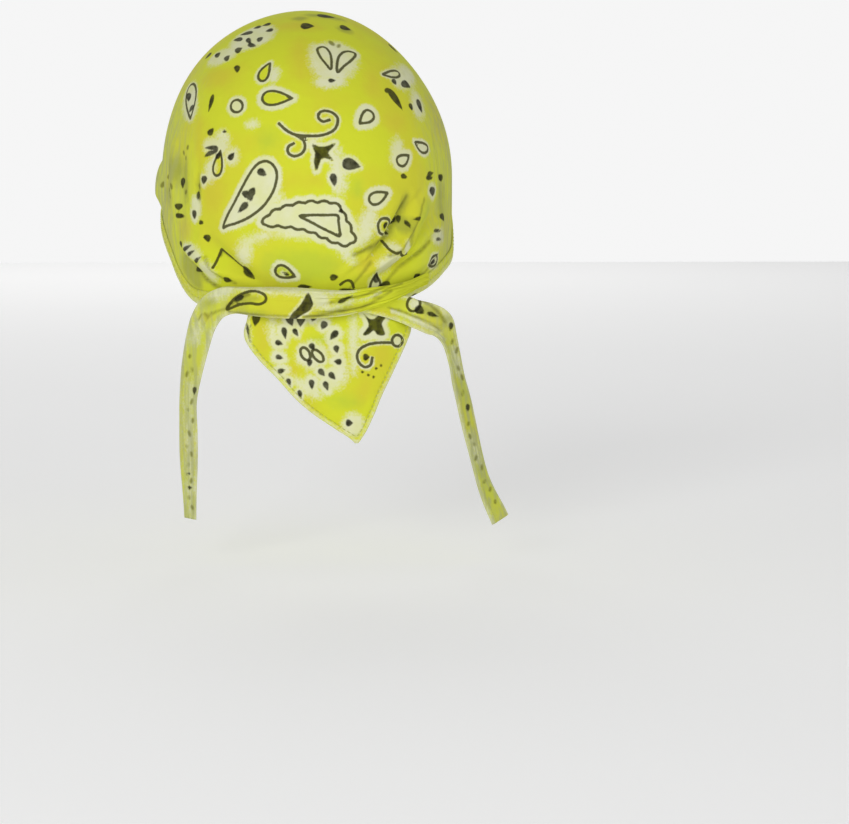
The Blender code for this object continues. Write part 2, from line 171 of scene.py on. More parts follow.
@dataclass(frozen=True)
class HeadForm:
    """The domed surface under the crown. Bearings run from the back towards the wearer's left."""

    half_breadth: float = 0.084
    rear_reach: float = 0.103
    front_reach: float = 0.097
    widest_drop: float = 0.096
    rim_drop: float = 0.166
    tuck_power: float = 2.2
    lean: float = 0.002
    cloth: float = 0.0012
    hem_height: float = 0.008
    fold_width: float = 0.010
    fold_rise: float = 0.0030
    fold_fade: float = 0.008
    fold_on_hem: float = 0.12
    fold_bluntness: float = 0.7
    small_turn: float = 0.5
    small_fall: float = 0.0005

    def round_rim(self, name: str, bearing: Points) -> Points:
        """A column of the rim's table at any bearing.

        Args:
            name: The column.
            bearing: Where to read it, in degrees.

        Returns:
            The column's values there.
        """
        keys, values = column(RIM, "bearing"), column(RIM, name)
        keys = np.concatenate([keys[-2:] - 360, keys, keys[:2] + 360])
        values = np.concatenate([values[-2:], values, values[:2]])
        return smooth_through(keys, values, from_back(bearing))

    def rim(self, bearing: Points) -> Points:
        """How far below the top the crown's edge lies."""
        return self.rim_drop * self.round_rim("drop", bearing)

    def bare(self, bearing: Points, drop: Points) -> Points:
        """Points of the outer face with no folds in it.

        Args:
            bearing: Degrees from the back.
            drop: Metres below the top.

        Returns:
            The points, one row each.
        """
        bearing, drop = np.broadcast_arrays(np.asarray(bearing, float), np.asarray(drop, float))
        angle = np.radians(bearing)
        tuck = self.round_rim("tuck", bearing)
        upper = np.clip(drop / self.widest_drop, 0.0, 1.0)
        lower = np.clip((drop - self.widest_drop) / (self.rim_drop - self.widest_drop), 0.0, 2.0)
        dome = np.sqrt(np.maximum(1 - (1 - upper) ** 2, 0.0))
        girth = np.where(drop < self.widest_drop, dome, 1 - tuck * lower**self.tuck_power)
        reach = np.where(np.cos(angle) > 0, self.rear_reach, self.front_reach)
        lean = self.lean * upper * (1 - upper) ** 3 * 256 / 27
        across = self.half_breadth * np.sin(angle) * girth + lean
        return np.stack([across, reach * np.cos(angle) * girth, self.cloth - drop], axis=-1)

    def frame_at(self, bearing: Points, drop: Points) -> tuple[Points, Points, Points]:
        """The directions of the surface at a place.

        Args:
            bearing: Degrees from the back.
            drop: Metres below the top.

        Returns:
            Right and down as seen from outside, and outward, all of length one.
        """
        low = np.maximum(drop, 2 * self.small_fall)
        right = unit(self.bare(bearing - self.small_turn, low) - self.bare(bearing + self.small_turn, low))
        down = self.bare(bearing, low + self.small_fall) - self.bare(bearing, low - self.small_fall)
        down = unit(down - right * (down * right).sum(-1, keepdims=True))
        return right, down, unit(np.cross(down, right))

    def fold_height(self, bearing: Points, drop: Points) -> Points:
        """How far the folds lift the cloth.

        Args:
            bearing: Degrees from the back.
            drop: Metres below the top.

        Returns:
            The rise at each place, in metres.
        """
        flat_from = self.rim(bearing) - self.hem_height - self.fold_fade / 2
        fade = np.clip((flat_from - drop) / self.fold_fade, self.fold_on_hem, 1.0)
        here = np.stack([self.half_breadth * np.radians(bearing), drop], axis=-1)
        rise = np.zeros(np.shape(drop))
        for row in FOLDS:
            start = np.array([self.half_breadth * math.radians(row.bearing), row.drop * self.rim_drop])
            end = np.array([self.half_breadth * math.radians(row.end_bearing), row.end_drop * self.rim_drop])
            length = float(np.linalg.norm(end - start))
            along = (end - start) / length
            t = np.clip((here - start) @ along / length, 0.0, 1.0)
            side = (here - start) @ np.array([along[1], -along[0]])
            off = (side - row.bow * length * 4 * t * (1 - t)) / (row.width * self.fold_width)
            bump = np.cos(np.clip(np.abs(off), 0.0, 1.0) * math.pi / 2) ** 2
            rise += row.rise * bump * np.sin(math.pi * t) ** self.fold_bluntness
        return self.fold_rise * rise * fade

    def folded(self, bearing: Points, drop: Points, *lifts: Points | float) -> Points:
        """Points of the outer face with its folds.

        Args:
            bearing: Degrees from the back.
            drop: Metres below the top.
            lifts: How far the points stand off the face.

        Returns:
            The points, one row each.
        """
        rise = self.fold_height(from_back(bearing), drop)
        for lift in lifts:
            rise = rise + lift
        return self.bare(bearing, drop) + self.frame_at(bearing, drop)[2] * rise[..., None]

    def path_length(self, drop: Points) -> Points:
        """How far down the cloth a drop lies, from the top."""
        over = self.widest_drop * np.arccos(1 - np.clip(drop / self.widest_drop, 0.0, 1.0))
        return over + np.maximum(drop - self.widest_drop, 0.0)

    def drop_at(self, length: Points) -> Points:
        """The drop at a distance down the cloth from the top.

        Args:
            length: Metres down the cloth.

        Returns:
            The drops, in metres.
        """
        quarter = self.widest_drop * math.pi / 2
        over = self.widest_drop * (1 - np.cos(np.minimum(length, quarter) / self.widest_drop))
        return over + np.maximum(length - quarter, 0.0)


@dataclass(frozen=True)
class Picture:
    """Where the reference view is taken from, and how its picture points lie on the object."""

    distance: float = 1.8
    level: float = -0.0588
    pixel: float = 0.00058
    middle_x: float = 307.0
    middle_y: float = 115.0
    least_slant: float = 0.38

    def seen(self, points: Points) -> Points:
        """The picture points of places in the scene.

        Args:
            points: The places.

        Returns:
            Across and down, in picture points.
        """
        grow = self.distance / (self.distance - points[..., 1]) / self.pixel
        across = self.middle_x - points[..., 0] * grow
        return np.stack([across, self.middle_y - (points[..., 2] - self.level) * grow], axis=-1)

    def grow(self, depth: float) -> float:
        """Metres to a picture point at a distance behind the origin."""
        return self.pixel * (1 - depth / self.distance)

    def step(self, right: Points, down: Points, depth: float) -> Points:
        """How a flat shape in the picture lies on a slanted surface.

        Args:
            right: The surface's own right.
            down: The surface's own down.
            depth: How far behind the origin the surface lies.

        Returns:
            The two by two matrix from picture points to metres on the surface.
        """
        grow = self.distance / (self.distance - depth) / self.pixel
        shown = np.array([[-right[0], -down[0]], [-right[2], -down[2]]])
        left, sizes, turned = np.linalg.svd(shown)
        sizes = np.maximum(sizes, self.least_slant)
        return np.linalg.inv(left @ np.diag(sizes) @ turned) / grow


class Role(Enum):
    """What a charted shape does in the print, or the painted shade and highlight that it lays on the cloth.
    """

    OUTLINE = "outline"
    INK = "ink"
    PALE = "pale"
    STROKE = "stroke"
    WARM = "warm"
    GREEN = "green"
    # Soft patches of painted shade, in the gathers, under the ties' folds, and at the crown's sides and top.
    PAINTED_SHADE = "olive"
    # Painted dark shade along creases, and also small dark marks.
    CREASE_SHADE_AND_MARKS = "crease"


OUTLINE, INK, STROKE = Role.OUTLINE, Role.INK, Role.STROKE
GROUNDS = PALE, WARM, GREEN, PAINTED_SHADE, CREASE_SHADE_AND_MARKS = Role.PALE, Role.WARM, Role.GREEN, Role.PAINTED_SHADE, Role.CREASE_SHADE_AND_MARKS
CLOTH_MARKS = ("leaf", "blot", "side", "near", *(role.value for role in GROUNDS))


class Leaf(NamedTuple):
    """A drop-shaped outline: its middle and size in picture points, with turn 0 pointing its tip right."""

    x: float
    y: float
    turn: float
    length: float
    width: float
    halo: float = 4.0
    pale: bool = False


class Ring(NamedTuple):
    """An oval outline with a pale inside, in picture points."""

    x: float
    y: float
    width: float
    height: float
    turn: float
    halo: float = 0.0


class Seed(NamedTuple):
    """A solid drop of ink: its middle and size in picture points."""

    x: float
    y: float
    turn: float
    length: float
    width: float
    halo: float = 0.0
    bend: float = 0.0


class Patch(NamedTuple):
    """A soft oval of another ground."""

    x: float
    y: float
    width: float
    height: float
    turn: float
    soft: float


class Line(NamedTuple):
    """A shape through picture points. Outlines and ink are closed, and the other roles are drawn lines."""

    role: Role
    through: tuple[tuple[float, float], ...]
    halo: float = 0.0
    scallop: float = 0.0
    scallops: int = 0
    pale: bool = False
    soft: float = 1.6


@dataclass(frozen=True)
class Chart:
    """The motifs of one piece of cloth, and the painted shade and highlights laid with them."""

    grounds: dict[Role, tuple[Patch, ...]]
    leaves: tuple[Leaf, ...] = ()
    rings: tuple[Ring, ...] = ()
    seeds: tuple[Seed, ...] = ()
    lines: tuple[Line, ...] = ()


class Stamp(NamedTuple):
    """One motif laid flat: its line in picture points about its middle, and how it is inked."""

    x: float
    y: float
    line: Points
    role: Role
    closed: bool = True
    halo: float = 0.0
    pale_inside: bool = True
    soft: float = 1.6


def turned(points: Points, turn: float) -> Points:
    """Picture points turned clockwise by an angle in degrees."""
    cos, sin = math.cos(math.radians(turn)), math.sin(math.radians(turn))
    return points @ np.array([[cos, sin], [-sin, cos]])


def drop_line(length: float, width: float, turn: float, bend: float = 0.0, steps: int = 36) -> Points:
    """A closed drop-shaped line.

    Args:
        length: From the round end to the tip.
        width: Across its widest part.
        turn: Degrees clockwise from pointing right.
        bend: How far its tip curls to one side, as a share of the length.
        steps: Points in the line.

    Returns:
        The points about the drop's middle.
    """
    angle = np.linspace(0.0, 2 * math.pi, steps, endpoint=False)
    along = np.cos(angle) / 2
    across = np.sin(angle) * np.abs(np.sin(angle / 2)) ** DROP_TAPER
    across = across / np.abs(across).max() / 2
    across = across * width + bend * length * (along + 0.5) ** 2
    return turned(np.stack([along * length, across], axis=-1), turn)


def oval_line(width: float, height: float, turn: float, steps: int = 32) -> Points:
    """A closed oval line about its middle."""
    angle = np.linspace(0.0, 2 * math.pi, steps, endpoint=False)
    return turned(np.stack([np.cos(angle) * width / 2, np.sin(angle) * height / 2], axis=-1), turn)


def drawn_line(through: Points, closed: bool, per_span: int = 6) -> Points:
    """A smooth line through points.

    Args:
        through: The points.
        closed: Whether the line returns to its start.
        per_span: Steps between points.

    Returns:
        The line's points.
    """
    count = len(through)
    spans = count if closed else count - 1
    found = []
    for i in range(spans):
        before = through[(i - 1) % count] if closed or i else through[0]
        start, end = through[i], through[(i + 1) % count]
        after = through[(i + 2) % count] if closed or i + 2 < count else through[-1]
        t = np.linspace(0.0, 1.0, per_span, endpoint=False)[:, None]
        found.append(
            start
            + (end - before) / 2 * t
            + (before - 2.5 * start + 2 * end - after / 2) * t**2
            + (1.5 * start - before / 2 - 1.5 * end + after / 2) * t**3
        )
    if not closed:
        found.append(through[-1:])
    return np.concatenate(found)


def scalloped(line: Points, depth: float, count: int) -> Points:
    """A closed line with round scallops standing out from it.

    Args:
        line: The closed line.
        depth: How far the scallops stand out.
        count: How many there are.

    Returns:
        The scalloped line.
    """
    along = np.roll(line, -1, axis=0) - np.roll(line, 1, axis=0)
    outward = unit(np.stack([along[:, 1], -along[:, 0]], axis=-1))
    middle = line.mean(axis=0)
    outward *= np.sign(((line - middle) * outward).sum(axis=1).mean())
    steps = np.linalg.norm(np.diff(line, axis=0, append=line[:1]), axis=1)
    share = np.cumsum(steps) / steps.sum()
    return line + outward * (np.abs(np.sin(math.pi * count * share)) * depth)[:, None]


def stamps_of(chart: Chart) -> list[Stamp]:
    """Every motif of a chart, laid flat.

    Args:
        chart: The motifs as they are charted.

    Returns:
        Their stamps.
    """
    found = []
    for leaf in chart.leaves:
        line = drop_line(leaf.length, leaf.width, leaf.turn)
        found.append(Stamp(leaf.x, leaf.y, line, OUTLINE, halo=leaf.halo, pale_inside=leaf.pale))
    for seed in chart.seeds:
        line = drop_line(seed.length, seed.width, seed.turn, seed.bend, SEED_STEPS)
        found.append(Stamp(seed.x, seed.y, line, INK, halo=seed.halo, soft=SEED_SOFT))
    for row in chart.lines:
        closed = row.role in (OUTLINE, INK)
        through = np.array(row.through, float)
        middle = through.mean(axis=0)
        line = drawn_line(through - middle, closed)
        if row.scallops:
            line = scalloped(line, row.scallop, row.scallops)
        found.append(Stamp(*middle, line, row.role, closed, row.halo, row.pale, row.soft))
    for ring in chart.rings:
        line = oval_line(ring.width, ring.height, ring.turn)
        found.append(Stamp(ring.x, ring.y, line, OUTLINE, halo=ring.halo))
    for role, patches in chart.grounds.items():
        for patch in patches:
            line = oval_line(patch.width, patch.height, patch.turn)
            found.append(Stamp(patch.x, patch.y, line, role, soft=patch.soft))
    return found


def line_distance(points: Points, line: Points, closed: bool) -> tuple[Points, Points]:
    """How far points are from a line.

    Args:
        points: The points.
        line: The line's points.
        closed: Whether it returns to its start.

    Returns:
        The plain distance, and the distance signed by side, or by inside for a closed line.
    """
    ends = np.roll(line, -1, axis=0) if closed else line[1:]
    starts = line if closed else line[:-1]
    span = ends - starts
    size = np.maximum((span**2).sum(axis=1), 1e-12)
    off = points[:, None, :] - starts[None]
    t = np.clip((off * span[None]).sum(axis=2) / size, 0.0, 1.0)
    gap = np.linalg.norm(off - t[..., None] * span[None], axis=2)
    nearest = gap.argmin(axis=1)
    rows = np.arange(len(points))
    near = gap[rows, nearest]
    if not closed:
        cross = off[..., 0] * span[None, :, 1] - off[..., 1] * span[None, :, 0]
        return near, (cross / np.sqrt(size))[rows, nearest]
    above = starts[None, :, 1] > points[:, None, 1]
    below = ends[None, :, 1] > points[:, None, 1]
    rise = np.where(np.abs(span[:, 1]) < 1e-12, 1e-12, span[:, 1])
    meets = starts[None, :, 0] + (points[:, None, 1] - starts[None, :, 1]) * span[None, :, 0] / rise
    inside = ((above != below) & (points[:, None, 0] < meets)).sum(axis=1) % 2 == 1
    return near, np.where(inside, -near, near)


@dataclass
class Inking:
    """What the print and the painted shade and highlights leave at each point of a cloth, as distances in
    stroke widths or soft steps.
    """

    count: int
    stroke: float = 0.00076
    nests_within: float = 2.5
    inner_halo: float = 0.4
    marks: dict[str, Points] = field(init=False)

    def __post_init__(self) -> None:
        """Starts with bare ground everywhere."""
        self.marks = {name: np.full(self.count, FAR) for name in CLOTH_MARKS}

    def keep_least(self, name: str, rows: Points, values: Points) -> None:
        """Keeps the lesser of the old and new distances at some points."""
        kept = self.marks[name]
        kept[rows] = np.minimum(kept[rows], values)

    def press(self, stamp: Stamp, rows: Points, places: Points, line: Points, grow: float) -> None:
        """Presses one motif onto the cloth.

        Args:
            stamp: The motif.
            rows: The points near it.
            places: Where they lie about the motif's middle, in metres.
            line: The motif's line in metres.
            grow: Metres to a picture point.
        """
        near, signed = line_distance(places, line, stamp.closed)
        if stamp.role is STROKE:
            closer = near < self.marks["near"][rows] * self.stroke
            self.marks["side"][rows[closer]] = signed[closer] / self.stroke
            self.marks["near"][rows[closer]] = near[closer] / self.stroke
        elif stamp.role is OUTLINE:
            self.keep_edge(rows, signed / self.stroke)
        elif stamp.role is INK:
            self.keep_least("blot", rows, signed / self.stroke)
        soft = stamp.soft * grow
        if stamp.role in GROUNDS:
            reach = signed if stamp.closed else near - stamp.halo * grow
            self.keep_least(stamp.role.value, rows, reach / soft)
        elif stamp.halo:
            ring = (signed if stamp.closed else near) - stamp.halo * grow
            if stamp.closed and not stamp.pale_inside:
                ring = np.maximum(ring, -signed - self.inner_halo * self.stroke)
            self.keep_least("pale", rows, ring / soft)

    def keep_edge(self, rows: Points, values: Points) -> None:
        """Keeps the nearest outline at each point. One that stands in another counts its outside as in.

        Args:
            rows: The points near the outline.
            values: Their distances from it, less than nothing inside.
        """
        kept = self.marks["leaf"][rows]
        beside = kept[np.abs(values) < self.nests_within]
        if len(beside) and np.median(beside) < 0:
            values = -values
        self.marks["leaf"][rows] = np.where(np.abs(values) < np.abs(kept), values, kept)


@dataclass(frozen=True)
class Printer:
    """Prints charts on cloth, at the places that the reference view shows."""

    form: HeadForm
    picture: Picture
    reach: float = 0.006
    facing: float = 0.15
    least_fall: float = 0.014
    off_hem: float = 0.006
    off_rim: float = 400.0
    rim_slack: float = 0.001
    search_turns: Place = (-89.0, 89.5, 1.0)
    search_falls: Place = (0.0005, 0.166, 0.0005)

    def on_flat(self, inking: Inking, points: Points, faces_back: Points, chart: Chart) -> None:
        """Prints on cloth that faces the view squarely.

        Args:
            inking: Where the ink is kept.
            points: The cloth's points.
            faces_back: Whether each point's face can be seen in the view.
            chart: The motifs.
        """
        seen = self.picture.seen(points)
        grow = self.picture.grow(float(points[:, 1].mean()))
        for stamp in stamps_of(chart):
            places = (seen - np.array([stamp.x, stamp.y])) * grow
            self.press_near(inking, stamp, places, stamp.line * grow, grow, faces_back)

    def press_near(
        self, inking: Inking, stamp: Stamp, places: Points, line: Points, grow: float, faces: Points
    ) -> None:
        """Presses a motif onto the points that it can reach.

        Args:
            inking: Where the ink is kept.
            stamp: The motif.
            places: Where the cloth's points lie about the motif's middle, in metres.
            line: The motif's line in metres.
            grow: Metres to a picture point.
            faces: Whether each point faces the motif's way.
        """
        reach = np.abs(line).max() + self.reach + stamp.halo * grow
        rows = np.nonzero((np.abs(places).max(axis=1) < reach) & faces)[0]
        if len(rows):
            inking.press(stamp, rows, places[rows], line, grow)

    def on_crown(self, inking: Inking, bearing: Points, drop: Points, chart: Chart) -> None:
        """Prints on the crown, at the back as the view shows it and again at the front.

        Args:
            inking: Where the ink is kept.
            bearing: The cloth's bearings.
            drop: The cloth's drops.
            chart: The motifs.
        """
        points = self.form.bare(bearing, drop)
        outward = self.form.frame_at(bearing, drop)[2]
        turns, falls = np.meshgrid(np.arange(*self.search_turns), np.arange(*self.search_falls))
        seen = self.picture.seen(self.form.bare(turns, falls))
        off_rim = np.where(falls > self.form.rim(turns) + self.rim_slack, self.off_rim, 0.0)
        for stamp in stamps_of(chart):
            miss = (seen[..., 0] - stamp.x) ** 2 + (seen[..., 1] - stamp.y) ** 2 + off_rim
            place = np.unravel_index(miss.argmin(), miss.shape)
            turn, fall = turns[place], float(falls[place])
            self.on_slope(inking, points, outward, stamp, float(turn), 0.0, fall)
            on_front = self.least_fall < fall < self.form.rim(turn + 180.0) - self.off_hem
            if on_front and stamp.role is not STROKE:
                self.on_slope(inking, points, outward, stamp, float(turn), 180.0, fall)

    def on_slope(
        self,
        inking: Inking,
        points: Points,
        outward: Points,
        stamp: Stamp,
        bearing: float,
        turn: float,
        fall: float,
    ) -> None:
        """Presses a motif at one place on the crown.

        Args:
            inking: Where the ink is kept.
            points: The cloth's points with no folds in it.
            outward: Their outward directions.
            stamp: The motif.
            bearing: Where the view shows it.
            turn: How much further round it is printed.
            fall: How far down it is.
        """
        there, here, low = np.array([bearing]), np.array([bearing + turn]), np.array([fall])
        right, down, _ = (way[0] for way in self.form.frame_at(there, low))
        depth = float(self.form.bare(there, low)[0][1])
        line = stamp.line @ self.picture.step(right, down, depth).T
        centre = self.form.bare(here, low)[0]
        right, down, out = (way[0] for way in self.form.frame_at(here, low))
        places = np.stack([(points - centre) @ right, (points - centre) @ down], axis=-1)
        self.press_near(inking, stamp, places, line, self.picture.grow(depth), outward @ out > self.facing)


def small_marks(*places: tuple[float, float]) -> tuple[Patch, ...]:
    """Small dark spots, each turned its own way.

    Args:
        places: Where they are, in picture points.

    Returns:
        The spots.
    """
    found = []
    for count, (x, y) in enumerate(places):
        height = MARK_HEIGHT + MARK_GROWS * math.sin(2.4 * count + y)
        turn = MARK_TURNS * math.cos(1.7 * count + x)
        found.append(Patch(x, y, MARK_WIDTH, height, turn, MARK_SOFT))
    return tuple(found)


